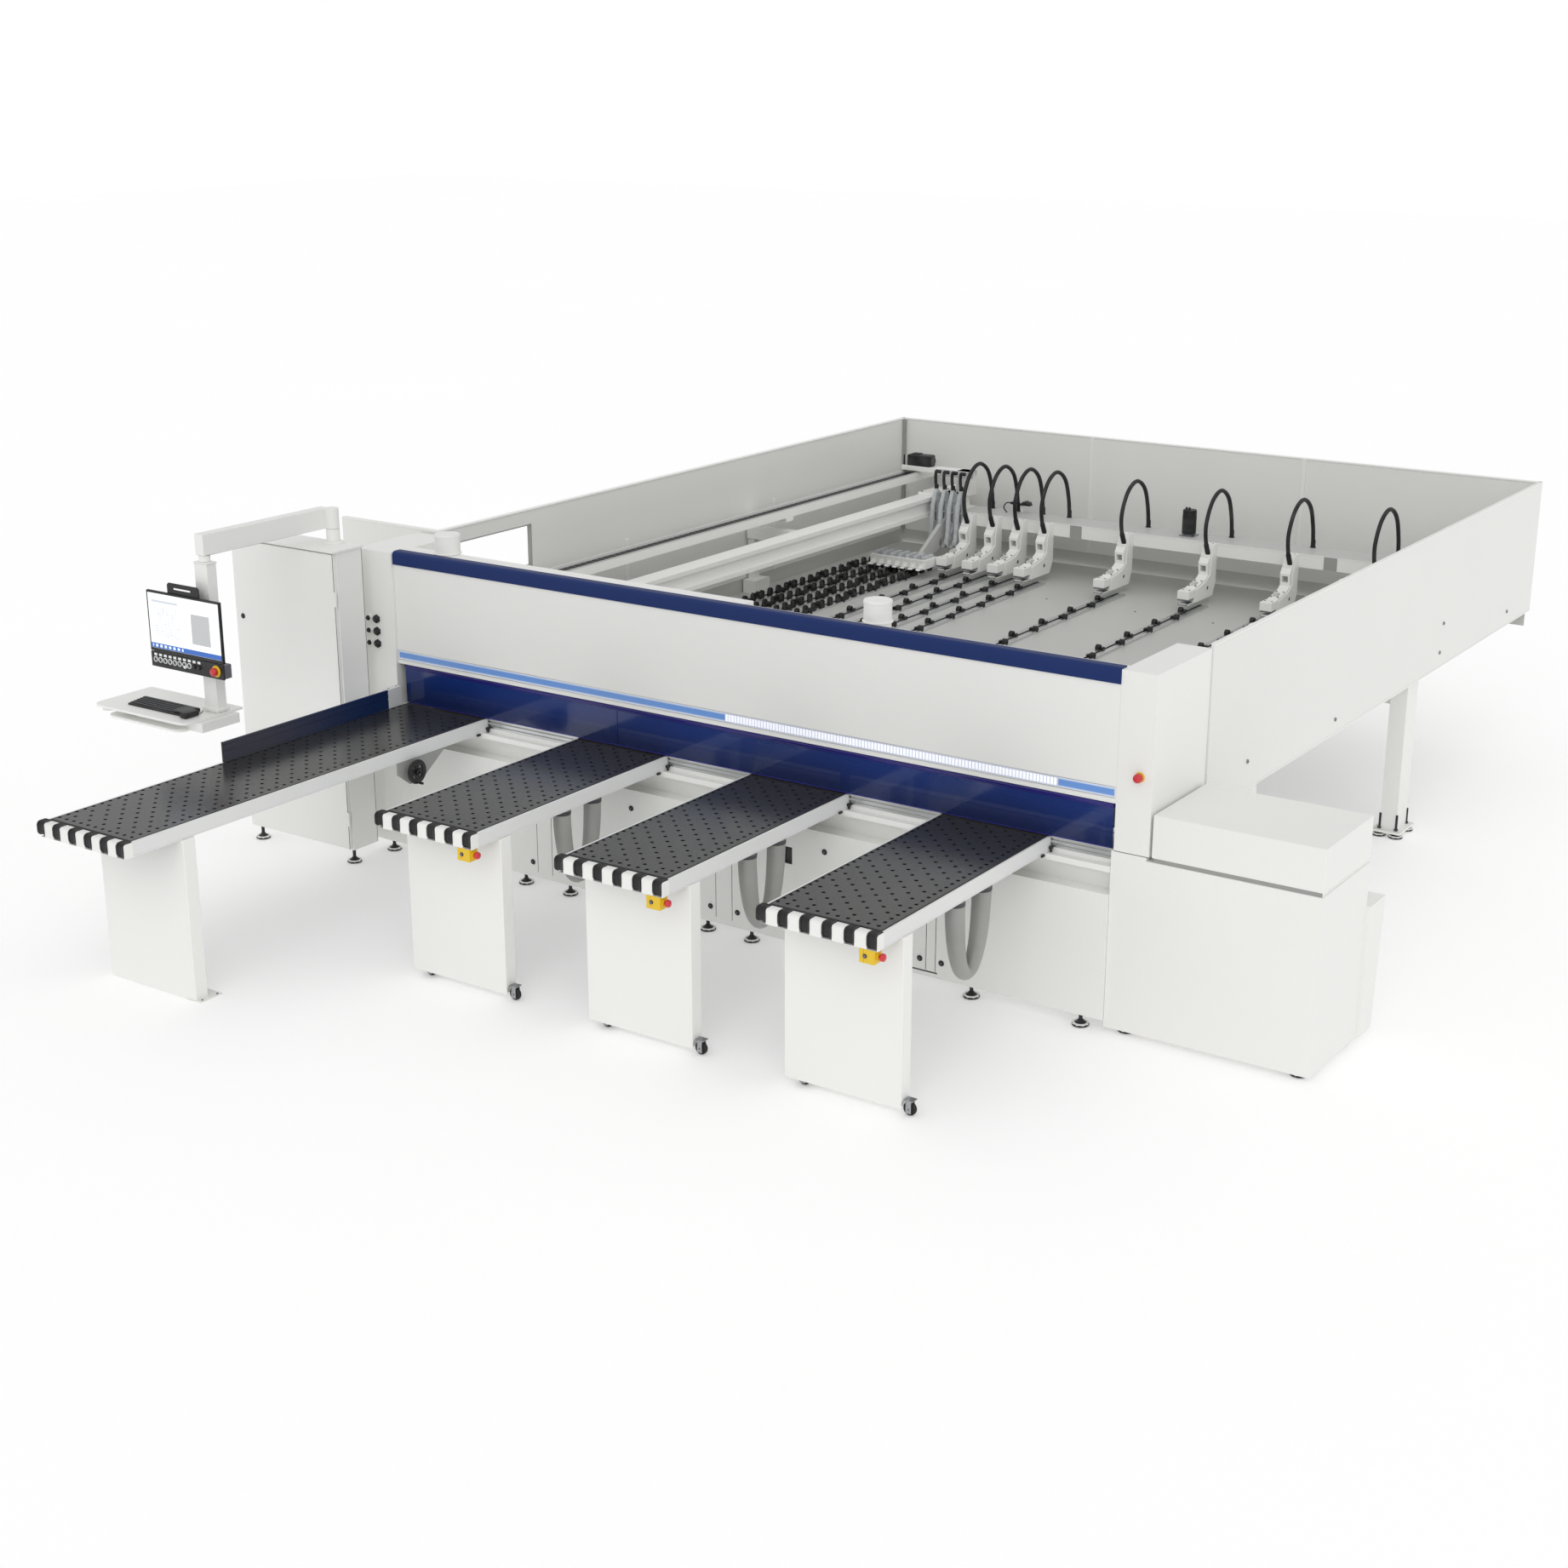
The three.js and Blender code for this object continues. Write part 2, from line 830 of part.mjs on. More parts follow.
function tableTop(length) {
  const plate = block(
    0, tableWidth, -length, -tableBackGap, workHeight - topThickness, workHeight,
  );
  const lips = shoeXs().map((x) => block(
    x - shoeWidth / 4, x + shoeWidth / 4, -length - 2 * topClearance, -length + bite,
    workHeight - topThickness, workHeight,
  ));
  return fuse([plate, ...lips, ...shoeXs().map((x) => edgeShoe(x, length))]);
}

function castorWheel(x, setback) {
  const centre = [x, -setback - legThickness / 2, castorRadius];
  const tyre = bar("y", centre, castorRadius, castorWidth, castorSides);
  const bore = bar("y", centre, axleBore, castorWidth + overrun, shaftSides);
  return cut(tyre, [bore]);
}

// The hose hangs from the underside of the table in one loop
function airHose() {
  const top = tableBottom - seat;
  const bottom = top - hoseDrop;
  const x = tableWidth - hoseInset;
  const middle = -(hoseFrontSetback + hoseBackSetback) / 2;
  const lowFront = middle - hoseBottomSpan / 2;
  const lowBack = middle + hoseBottomSpan / 2;
  const points = [
    [x, -hoseFrontSetback, top],
    [x, -hoseFrontSetback, top - hoseDrop * hoseNeckShare],
    [x, lowFront - hoseRadius / 2, bottom + hoseDrop * hoseWaistShare],
    [x, lowFront, bottom + hoseDrop * hoseCurveShare],
    [x, middle, bottom],
    [x, lowBack, bottom + hoseDrop * hoseCurveShare],
    [x, lowBack + hoseRadius / 2, bottom + hoseDrop * hoseWaistShare],
    [x, -hoseBackSetback, top - hoseDrop * hoseNeckShare],
    [x, -hoseBackSetback, top],
  ];
  return tube(points, hoseRadius, hoseSides, hoseSteps);
}

function addTable(index, x, length) {
  const group = new THREE.Group();
  group.position.x = x;
  machine.add(group);
  const isLong = index === 1;
  const leg = isLong ? standingLeg(longLegSetback) : rollingLeg(legSetback);
  const label = `table_${index}`;
  const pieces = [tableFrame(length), leg, clampKnob()];
  if (isLong) {
    const body = fuse([...pieces, handwheelGusset(), handwheelPin()]);
    addPart(`${label}_frame`, body, "whitePaint", group);
    addPart("handwheel", handwheel(), "blackPlastic", group);
  } else {
    const stop = stopCentre(length);
    const body = cut(fuse([...pieces, stopBox(length), stopCollar(stop)]), [stopBore(stop)]);
    addPart(`${label}_frame`, body, "whitePaint", group);
    addPart(`${label}_stop`, stopButton(stop, stopHeadRadius, stopHeadLength), "stopRed", group);
    castorXs().forEach((castorX, i) => addPart(
      `${label}_castor_${i + 1}`, castorWheel(castorX, legSetback), "blackPlastic", group,
    ));
    addPart(`${label}_hose`, airHose(), "greyHose", group);
  }
  addPart(`${label}_top`, tableTop(length), "darkPlate", group);
}

function fence() {
  const foot = workHeight + seat;
  const face = block(
    -fenceThickness, 0, -fenceFrontSetback, -fenceBackSetback, foot, foot + fenceHeight,
  );
  const flange = block(
    -fenceFoot, 0, -fenceFrontSetback, -fenceBackSetback, foot, foot + fenceFootHeight,
  );
  const post = block(
    -fenceBlockWidth, 0, -fenceBackSetback - bite, -fenceBlockBackSetback,
    foot, foot + fenceHeight + bite,
  );
  return fuse([face, flange, post]);
}

// Bed with the saw slot
function bed() {
  const plate = block(
    bedLeft, bedRight - seat, 0, bedDepth, workHeight - bedThickness, workHeight,
  );
  const slot = block(
    bedLeft + slotEndMargin, bedRight - slotEndMargin,
    slotY - slotWidth / 2, slotY + slotWidth / 2,
    workHeight - bedThickness - overrun, workHeight + overrun,
  );
  return cut(plate, [slot]);
}

function levellingFoot(x, y, top) {
  const pad = bar("z", [x, y, footPad / 2], footRadius, footPad, footSides);
  const stud = bar("z", [x, y, (top + bite) / 2], footStud, top + bite, shaftSides);
  return fuse([pad, stud]);
}

function leftTower() {
  const post = block(towerLeft, bedLeft - towerGap, towerFront, towerBack, baseBottom, towerTop);
  const glands = glandXs.flatMap((x) => glandZs.map((z) => bar(
    "y", [x, towerFront - glandLength / 2 + bite, z], glandRadius, glandLength, lockSides,
  )));
  const feet = [towerFront + footInset, towerBack - footInset]
    .map((y) => levellingFoot((towerLeft + bedLeft) / 2, y, baseBottom));
  return fuse([post, ...glands, ...feet]);
}

// The saw carriage and its rails share the height between the trough floor and the resting blade
const bladeZ = workHeight - bedThickness - bladeRestGap - bladeRadius;
const troughFloor = baseBottom + baseFloor;
const troughClearance = bladeZ - bladeRadius - troughFloor;
const carriageHeight = troughClearance * carriageShare;
const carriageRailHeight = troughClearance * carriageRailShare;

function baseFrame() {
  const bedSeat = workHeight - bedThickness - seat;
  const ledgeTop = tableBottom - seat;
  const outline = [
    [baseFront, baseBottom],
    [baseBack, baseBottom],
    [baseBack, bedSeat],
    [0, bedSeat],
    [0, ledgeTop],
    [-ledgeDepth, ledgeTop],
    [-ledgeDepth, ledgeTop - ledgeHeight],
    [0, ledgeTop - ledgeHeight],
    [baseShoulderY, ledgeTop - ledgeHeight],
    [baseShoulderY, baseShoulder],
    [baseFront, baseShoulder],
  ];
  const right = bedRight - seat;
  const hull = slabAlongX(outline, bedLeft, right);
  const trough = block(
    bedLeft + baseWall, right - baseWall, baseShoulderY + baseWall, baseBack - baseWall,
    troughFloor, bedSeat + overrun,
  );
  const seams = doorSeamXs.map((x) => block(
    x - seamWidth / 2, x + seamWidth / 2, baseFront - overrun, baseFront + seamDepth,
    doorSeamBottom, baseShoulder + overrun,
  ));
  const kick = block(
    kickX - kickWidth / 2, kickX + kickWidth / 2, baseFront - overrun, baseFront + kickDepth,
    kickZ - kickHeight / 2, kickZ + kickHeight / 2,
  );
  const lockSpots = [
    ...doorSeamXs.map((x, i) => [x + (i % 2 ? 1 : -1) * lockInset, lockHeight]),
    ...upperLockXs.map((x) => [x, upperLockHeight]),
  ];
  const locks = lockSpots.map(([x, z]) => bar(
    "y", [x, baseFront - lockDepth / 2 + bite, z], lockRadius, lockDepth, lockSides,
  ));
  const feet = footXs.flatMap((x) => [baseFront + footInset, baseBack - footInset]
    .map((y) => levellingFoot(x, y, baseBottom)));
  const rails = [carriageFront + carriageRailInset, carriageBack - carriageRailInset]
    .map((y) => block(
      bedLeft + baseWall - bite, right - baseWall + bite,
      y - carriageRailWidth / 2, y + carriageRailWidth / 2,
      troughFloor - bite, troughFloor + carriageRailHeight,
    ));
  const shell = cut(hull, [trough, ...seams, kick]);
  return fuse([shell, ...rails, ...locks, ...feet]);
}

// Beam cover: an inverted channel with a thin crest over its front wall
function beamCover() {
  const crestBack = beamFront + beamCrestDepth;
  const outer = [
    [beamFront, beamLip],
    [beamFront + beamWall, beamLip],
    [beamFront + beamWall, beamBodyBottom],
    [beamBodyBack, beamBodyBottom],
    [beamBodyBack, beamBodyTop],
    [crestBack, beamBodyTop],
    [crestBack, beamTop],
    [beamFront + beamTrimProud, beamTop],
    [beamFront + beamTrimProud, beamTop - beamTrimHeight],
    [beamFront, beamTop - beamTrimHeight],
    [beamFront, stripTop],
    [beamFront + stripRecess, stripTop],
    [beamFront + stripRecess, stripBottom],
    [beamFront, stripBottom],
  ];
  const left = bedLeft;
  const right = rightTowerLeft - towerGap;
  const shell = slabAlongX(outer, left, right);
  const hollow = block(
    left + beamWall, right - beamWall, crestBack, beamBodyBack - beamWall,
    beamBodyBottom - overrun, beamBodyTop - beamWall,
  );
  const topBox = block(
    left, topBoxRight, crestBack - bite, topBoxBack, beamBodyTop - bite, beamTop - topBoxDrop,
  );
  const ducts = ductXs.map((x) => bar(
    "z", [x, ductY, beamBodyTop + (beamTop - beamBodyTop + ductHeight) / 2 - bite],
    ductRadius, beamTop - beamBodyTop + ductHeight, ductSides,
  ));
  return fuse([cut(shell, [hollow]), topBox, ...ducts]);
}

// Blue band with a rounded top edge, proud of the cover
function beamTrim() {
  const front = beamFront;
  const back = beamFront + beamTrimProud - seat;
  const shape = [
    [back, beamTop - beamTrimHeight + seat],
    [back, beamTop + seat],
    [beamFront + beamCrestDepth, beamTop + seat],
    [beamFront + beamCrestDepth, beamTop + beamTrimProud],
  ];
  for (let i = 0; i <= trimArcSteps; i += 1) {
    const angle = (Math.PI / 2) * (1 + i / trimArcSteps);
    shape.push([
      front + beamTrimRadius - beamTrimProud + beamTrimRadius * Math.cos(angle),
      beamTop + beamTrimProud - beamTrimRadius + beamTrimRadius * Math.sin(angle),
    ]);
  }
  shape.push([front - beamTrimProud, beamTop - beamTrimHeight + seat]);
  return slabAlongX(shape, bedLeft, rightTowerLeft - towerGap);
}

function lightStrip() {
  return block(
    bedLeft + beamWall, rightTowerLeft - towerGap - beamWall,
    beamFront + seat, beamFront + stripRecess - seat, stripBottom + seat, stripTop - seat,
  );
}

function curtain() {
  const left = curtainFenceGap;
  const right = rightTowerLeft - curtainEndGap;
  const sheet = block(
    left, right, curtainY - curtainThickness / 2, curtainY + curtainThickness / 2,
    workHeight + curtainFloorGap, curtainRodZ,
  );
  const rod = bar(
    "x", [(left + right) / 2, curtainY, curtainRodZ], curtainRodRadius, right - left,
    curtainRodSides,
  );
  return fuse([sheet, rod]);
}

function pressureBeam() {
  const bottom = workHeight + pressureGap;
  const body = block(
    pressureLeft, pressureRight, slotY - pressureWidth / 2, slotY + pressureWidth / 2,
    bottom, bottom + pressureHeight,
  );
  const groove = block(
    pressureLeft - overrun, pressureRight + overrun,
    slotY - pressureGroove / 2, slotY + pressureGroove / 2,
    bottom - overrun, bottom + pressureGrooveDepth,
  );
  const posts = pressurePostXs.map((x) => bar(
    "z", [x, slotY, bottom + pressureHeight + pressurePostRise / 2 - bite],
    pressurePostRadius, pressurePostRise, shaftSides,
  ));
  return fuse([cut(body, [groove]), ...posts]);
}

function rightTower() {
  const body = block(
    rightTowerLeft, rightTowerRight, rightTowerFront, rightTowerBack, rightTowerBottom, towerTop,
  );
  const bore = bar(
    "y", [towerStopX, rightTowerFront, towerStopZ], stopStemRadius + axleFit,
    2 * towerStopLength, stopSides,
  );
  const collar = bar(
    "y", [towerStopX, rightTowerFront - stopCollarLength / 2 + bite, towerStopZ],
    towerStopRadius + bite, stopCollarLength, stopSides,
  );
  return cut(fuse([body, collar]), [bore]);
}

function towerStop() {
  const face = rightTowerFront - stopCollarLength + bite;
  const stem = bar("y", [towerStopX, face, towerStopZ], stopStemRadius, towerStopLength, stopSides);
  const head = bar(
    "y", [towerStopX, face - stopTravel - axleFit - towerStopLength / 2, towerStopZ], towerStopRadius,
    towerStopLength, stopSides,
  );
  return fuse([stem, head]);
}

function bladeBox() {
  const body = block(boxLeft, boxRight, boxFront, boxBack, boxBottom, boxTop);
  const post = block(
    boxLeft, lidLeft - lidGap, boxFront, boxBack, boxTop - bite, rightTowerBottom - seat,
  );
  const rim = block(
    lidLeft + boxRimInset, boxRight - boxRimInset, boxFront + boxRimInset, boxBack - boxRimInset,
    boxTop - bite, boxTop + boxRimHeight,
  );
  const well = block(
    boxWellLeft, boxRight - boxWellWall, boxFront + boxWellWall, boxBack - boxWellWall,
    boxWellFloor, boxTop + boxRimHeight + overrun,
  );
  const step = slabAlongX([
    [boxBack - bite, boxBottom],
    [stepBottomBack, boxBottom],
    [stepBack, stepTop],
    [boxBack - bite, stepTop],
  ], stepLeft, boxRight + stepOverhang);
  const feet = [boxLeft, boxRight].flatMap((x) => [boxFront, boxBack].map((y) => levellingFoot(
    x + (x === boxLeft ? 1 : -1) * 2 * boxLegRadius,
    y + (y === boxFront ? 1 : -1) * 2 * boxLegRadius,
    boxBottom,
  )));
  return fuse([cut(fuse([body, post, rim]), [well]), step, ...feet]);
}

function bladeBoxLid() {
  const bottom = boxTop + boxRimHeight + seat;
  const outer = block(lidLeft, boxRight, boxFront, boxBack, bottom, bottom + lidHeight);
  const hollow = block(
    lidLeft + lidWall, boxRight - lidWall, boxFront + lidWall, boxBack - lidWall,
    bottom - overrun, bottom + lidHeight - lidWall,
  );
  return cut(outer, [hollow]);
}

// A saw blade with radial teeth, in the plane y = middle
function blade(x, z, radius, teeth) {
  const shape = new THREE.Shape();
  for (let i = 0; i < teeth; i += 1) {
    const turn = (2 * Math.PI) / teeth;
    const gullet = radius - toothDepth;
    const corners = [
      [radius, 0], [radius, toothTipShare], [gullet, toothRootShare], [gullet, toothBackShare],
    ];
    corners.forEach(([reach, share], corner) => {
      const angle = turn * (i + share);
      const point = [x + reach * Math.cos(angle), z + reach * Math.sin(angle)];
      if (i === 0 && corner === 0) shape.moveTo(...point);
      else shape.lineTo(...point);
    });
  }
  shape.closePath();
  const disc = slabAlongY(shape, slotY - bladeThickness / 2, slotY + bladeThickness / 2);
  const hub = bar("y", [x, slotY + hubLength / 2, z], hubRadius, hubLength, hubSides);
  return fuse([disc, hub]);
}

const bladeX = carriageLeft + bladeInset;
const scoringX = bladeX - scoringOffset;
const scoringZ = workHeight + scoringProud - liftTravel - scoringRadius;
const carriageFloor = troughFloor + carriageRailHeight + seat;
const mastTop = workHeight - mastTopDrop;
const mastFront = carriageBack - mastThickness;

function sawCarriage() {
  const deck = block(
    carriageLeft, carriageLeft + carriageLength, carriageFront, carriageBack,
    carriageFloor, carriageFloor + carriageHeight,
  );
  const mast = block(
    carriageLeft, carriageLeft + carriageLength, mastFront, carriageBack,
    carriageFloor, mastTop,
  );
  return fuse([deck, mast]);
}

function sawLift() {
  const back = mastFront - liftGap;
  const front = back - liftThickness;
  const plate = block(
    carriageLeft, carriageLeft + carriageLength, front, back,
    carriageFloor + carriageHeight + liftGap, mastTop,
  );
  const motorFace = slotY + hubLength + seat;
  const motorMiddle = (motorFace + front + bite) / 2;
  const motorReach = front + bite - motorFace;
  const mainMotor = bar(
    "y", [bladeX, motorMiddle, bladeZ], motorRadius, motorReach, motorSides,
  );
  const scoringMotor = bar(
    "y", [scoringX, motorMiddle, scoringZ], scoringMotorRadius, motorReach, smallMotorSides,
  );
  const riser = block(
    scoringX - scoringMotorRadius, scoringX + 2 * scoringMotorRadius, front, back,
    mastTop - bite, scoringZ + scoringMotorRadius,
  );
  return fuse([plate, riser, mainMotor, scoringMotor]);
}

// Sheet-metal fence round the roller bed, open at the beam
function leftGuard() {
  const left = guardLeft;
  const right = left + guardThickness;
  const back = guardBack - guardThickness - seat;
  const wall = block(left, right, guardLeftStart, back, guardBottom, guardTop);
  const window = block(
    left - overrun, right + overrun, windowFront, windowBack, windowBottom, windowTop,
  );
  const wing = block(
    wingLeft, left + bite, guardLeftStart, guardLeftStart + guardThickness,
    guardBottom, guardTop,
  );
  const ribs = guardSeamYs.map((y) => block(
    left - ribProud, left + bite, y - ribWidth / 2, y + ribWidth / 2, guardBottom, windowBottom,
  ));
  return cut(fuse([wall, wing, ...ribs]), [window]);
}

function rightGuard() {
  const left = guardRight - rightGuardThickness;
  const back = guardBack - guardThickness - seat;
  const wall = block(left, guardRight, guardRightStart, back, guardBottom, guardTop);
  const ribs = guardSeamYs.map((y) => block(
    left - ribProud, left + bite, y - ribWidth / 2, y + ribWidth / 2, guardBottom, guardTop,
  ));
  return fuse([wall, ...ribs]);
}

function rearGuard() {
  const left = guardLeft;
  const front = guardBack - guardThickness;
  const wall = block(left, guardRight, front, guardBack, guardBottom, guardTop);
  const span = guardRight - left;
  const ribs = [span / 3, (2 * span) / 3].map((offset) => block(
    left + offset - ribWidth / 2, left + offset + ribWidth / 2,
    guardBack - bite, guardBack + ribProud, guardBottom, guardTop,
  ));
  return fuse([wall, ...ribs]);
}

function frameLeg(x, y) {
  const plateTop = legPlateZ + legPlateThickness;
  const post = block(
    x, x + frameBeamWidth, y - legWidth / 2, y + legWidth / 2, plateTop - bite,
    guardBottom - seat,
  );
  const plate = block(
    x - legPlateMargin, x + frameBeamWidth + legPlateMargin,
    y - legWidth / 2 - legPlateMargin, y + legWidth / 2 + legPlateMargin, legPlateZ, plateTop,
  );
  const pads = [x, x + frameBeamWidth].flatMap((padX) => [y - legWidth / 2, y + legWidth / 2]
    .map((padY) => levellingFoot(padX, padY, legPlateZ)));
  return fuse([post, plate, ...pads]);
}

function leftGuide() {
  const beam = block(
    guideLeft, guideLeft + guideWidth, frameFront, frameBack, guideBottom,
    guideBottom + guideHeight,
  );
  const groove = block(
    guideLeft + guideWidth - guideLip, guideLeft + guideWidth + overrun,
    frameFront - overrun, frameBack + overrun,
    guideBottom + guideLip, guideBottom + guideHeight - guideLip,
  );
  const tray = block(
    trayLeft, trayLeft + trayWidth, frameFront, frameBack, trayBottom, trayBottom + trayHeight,
  );
  const trough = block(
    trayLeft + trayWall, trayLeft + trayWidth - trayWall,
    frameFront - overrun, frameBack + overrun, trayBottom + trayWall,
    trayBottom + trayHeight + overrun,
  );
  const posts = legYs.flatMap((y) => [
    block(
      frameLeft, frameLeft + guidePostWidth, y - guidePostWidth / 2, y + guidePostWidth / 2,
      guardBottom - seat - bite, trayBottom + bite,
    ),
    block(
      frameLeft + bite, guideLeft + bite, y - crossWidth / 2, y + crossWidth / 2,
      guideBottom + guideLip, guideBottom + guideHeight - guideLip,
    ),
    block(
      frameLeft + bite, trayLeft + trayWidth, y - crossWidth / 2, y + crossWidth / 2,
      trayBottom - guideLip, trayBottom + bite,
    ),
  ]);
  return fuse([cut(beam, [groove]), cut(tray, [trough]), ...posts]);
}

function rightGuide() {
  const right = frameRight;
  const left = frameRight - frameBeamWidth;
  const beam = block(
    left, right, frameFront, frameBack, rightGuideBottom, rightGuideBottom + rightGuideHeight,
  );
  const posts = legYs.map((y) => block(
    left + guideLip, right - bite, y - guidePostWidth / 2, y + guidePostWidth / 2,
    guardBottom - seat - bite, rightGuideBottom + bite,
  ));
  return fuse([beam, ...posts]);
}

function rearFrame() {
  const bottom = frameTop - frameBeamHeight;
  const innerLeft = frameLeft + frameInset;
  const innerRight = frameRight - frameInset;
  const sides = [innerLeft, innerRight - frameBeamWidth].map((x) => block(
    x, x + frameBeamWidth, frameFront, frameBack, bottom, frameTop,
  ));
  const crosses = crossYs.map((y) => block(
    innerLeft + bite, innerRight - bite, y, y + crossWidth, frameTop - crossDrop, frameTop,
  ));
  const arms = legYs.flatMap((y) => [
    block(
      frameLeft + bite, innerLeft + bite, y - crossWidth / 2, y + crossWidth / 2,
      frameTop - crossDrop, frameTop - bite,
    ),
    block(
      innerRight - bite, frameRight - bite, y - crossWidth / 2, y + crossWidth / 2,
      frameTop - crossDrop, frameTop - bite,
    ),
  ]);
  const legs = legYs.flatMap((y) => [frameLeft, frameRight - frameBeamWidth]
    .map((x) => frameLeg(x, y)));
  return fuse([...sides, ...crosses, ...arms, ...legs, leftGuide(), rightGuide()]);
}

function bedRail(x) {
  const rail = block(
    x - railWidth / 2, x + railWidth / 2, railFront, railBack, deckTop - deckThickness, railTop,
  );
  const count = Math.floor((railBack - bedWheelFirst) / bedWheelPitch);
  const wheelZ = workHeight - bedWheelRadius;
  const wheels = [];
  for (let i = 0; i < count; i += 1) {
    const y = bedWheelFirst + i * bedWheelPitch;
    const offset = (railWidth - bedWheelWidth) / 2 - railEdge;
    wheels.push(bar("x", [x + offset, y, wheelZ], bedWheelRadius, bedWheelWidth, bedWheelSides));
    wheels.push(bar(
      "x", [x - offset, y + bedWheelPitch / 2, wheelZ], bedWheelRadius, bedWheelWidth,
      bedWheelSides,
    ));
  }
  return fuse([rail, ...wheels]);
}

function rollerBed() {
  const deckBottom = deckTop - deckThickness;
  const denseXs = Array.from(
    { length: denseRailCount }, (_, i) => denseRailFirst + i * denseRailPitch,
  );
  const deck = block(
    denseRailFirst - railWidth / 2, deckRight, railFront, deckBack, deckBottom, deckTop,
  );
  return fuse([deck, ...[...denseXs, ...rollerRailXs].map((x) => bedRail(x))]);
}

// One gripper arm: a foot over the rollers, an upright and a sloping head
const gripperFoot = workHeight + gripperBottomGap;
const tongueTop = gripperFoot + tongueThickness;
const jawBottom = tongueTop + jawTravel + jawClearance;
const gripperTip = pusherFront - gripperReach;
const gripperNose = gripperTip + gripperTongue;

function gripperArm(x) {
  const outline = [
    [gripperTip, gripperFoot],
    [pusherFront - gripperWidth / 2, gripperFoot],
    [pusherFront + bite, gripperFoot + gripperWidth],
    [pusherFront + bite, pusherTop],
    ...headShares.map(([out, down]) => [
      pusherFront - gripperWidth * out, pusherTop - gripperWidth * down,
    ]),
    [gripperNose, jawBottom + jawHeight],
    [gripperNose, tongueTop],
    [gripperTip, tongueTop],
  ];
  const arm = slabAlongX(outline, x - gripperWidth / 2, x + gripperWidth / 2);
  const [windowHigh, windowLow] = windowShares.map((down) => pusherTop - gripperWidth * down);
  const window = block(
    x - gripperWindow / 2, x + gripperWindow / 2, pusherFront - 2 * gripperWidth,
    pusherFront - gripperWidth, windowLow, windowHigh,
  );
  const [eyeOut, eyeUp] = eyeShares;
  const eye = bar(
    "x", [x, pusherFront - gripperWidth * eyeOut, gripperFoot + gripperWidth * eyeUp],
    gripperEyeRadius, gripperWidth + overrun, eyeSides,
  );
  return cut(arm, [window, eye]);
}

function gripperJaw(x) {
  return block(
    x - gripperWidth / 2, x + gripperWidth / 2, gripperTip, gripperNose - seat,
    jawBottom, jawBottom + jawHeight,
  );
}

// A cable loop from the head of an arm over to the top of the pusher beam
function gripperLoop(x) {
  const points = loopShares.map(([back, up]) => [
    x + loopOffset, pusherFront + gripperWidth * back, pusherTop + gripperWidth * up,
  ]);
  return tube(points, loopRadius, loopSides, loopSteps);
}

function pusherBar() {
  const back = pusherFront + pusherDepth;
  const beam = block(pusherLeft, pusherRight, pusherFront, back, pusherBottom, pusherTop);
  const tray = block(
    pusherLeft, pusherRight, back - bite, back + pusherTrayDepth,
    pusherBottom, pusherBottom + pusherTrayHeight,
  );
  const trough = block(
    pusherLeft + pusherTrayWall, pusherRight - pusherTrayWall, back + pusherTrayWall,
    back + pusherTrayDepth - pusherTrayWall, pusherBottom + pusherTrayWall,
    pusherBottom + pusherTrayHeight + overrun,
  );
  const leftCarrier = block(
    guideLeft, pusherLeft + guideWidth, pusherFront, back,
    guideBottom + guideHeight + seat, guideBottom + guideHeight + seat + carrierThickness,
  );
  const leftUpright = block(
    pusherLeft, pusherLeft + guideWidth, pusherFront, back, pusherTop - bite,
    guideBottom + guideHeight + seat + carrierThickness,
  );
  const rightCarrier = block(
    pusherRight - bite, frameRight - guideLip, pusherFront, back,
    rightGuideBottom + rightGuideHeight + seat,
    rightGuideBottom + rightGuideHeight + seat + carrierThickness + pusherTop - pusherBottom,
  );
  return fuse([beam, cut(tray, [trough]), leftCarrier, leftUpright, rightCarrier]);
}

// The cross plate over the cable tray, its post and the carriage motor on top
function headBox() {
  const back = pusherFront + pusherDepth;
  const front = back - headBoxDepth;
  const right = headBoxLeft + headBoxWidth;
  const carrierTop = guideBottom + guideHeight + seat + carrierThickness;
  const plate = block(
    headBoxLeft, right, front, back, trayBottom + trayHeight + trayClearance, headBoxTop,
  );
  const post = block(
    right - headPostWidth, right, front, back, carrierTop - carrierThickness, headBoxTop,
  );
  const motor = bar(
    "x", [
      headBoxLeft + headMotorLength / 2 + headMotorSink, (front + back) / 2,
      headBoxTop + headMotorRadius - headMotorSink,
    ],
    headMotorRadius, headMotorLength, smallMotorSides,
  );
  return fuse([plate, post, motor]);
}

function compactGripper(x) {
  const outline = [
    [pusherFront - compactDepth, compactBottom],
    [pusherFront - compactDepth * compactJawShare, compactBottom],
    [pusherFront + bite, pusherBottom],
    [pusherFront + bite, compactTop - compactWidth],
    [pusherFront - compactDepth * compactTopShare, compactTop],
    [pusherFront - compactDepth * compactBackShare, compactTop - compactDepth],
  ];
  return slabAlongX(outline, x - compactWidth / 2, x + compactWidth / 2);
}

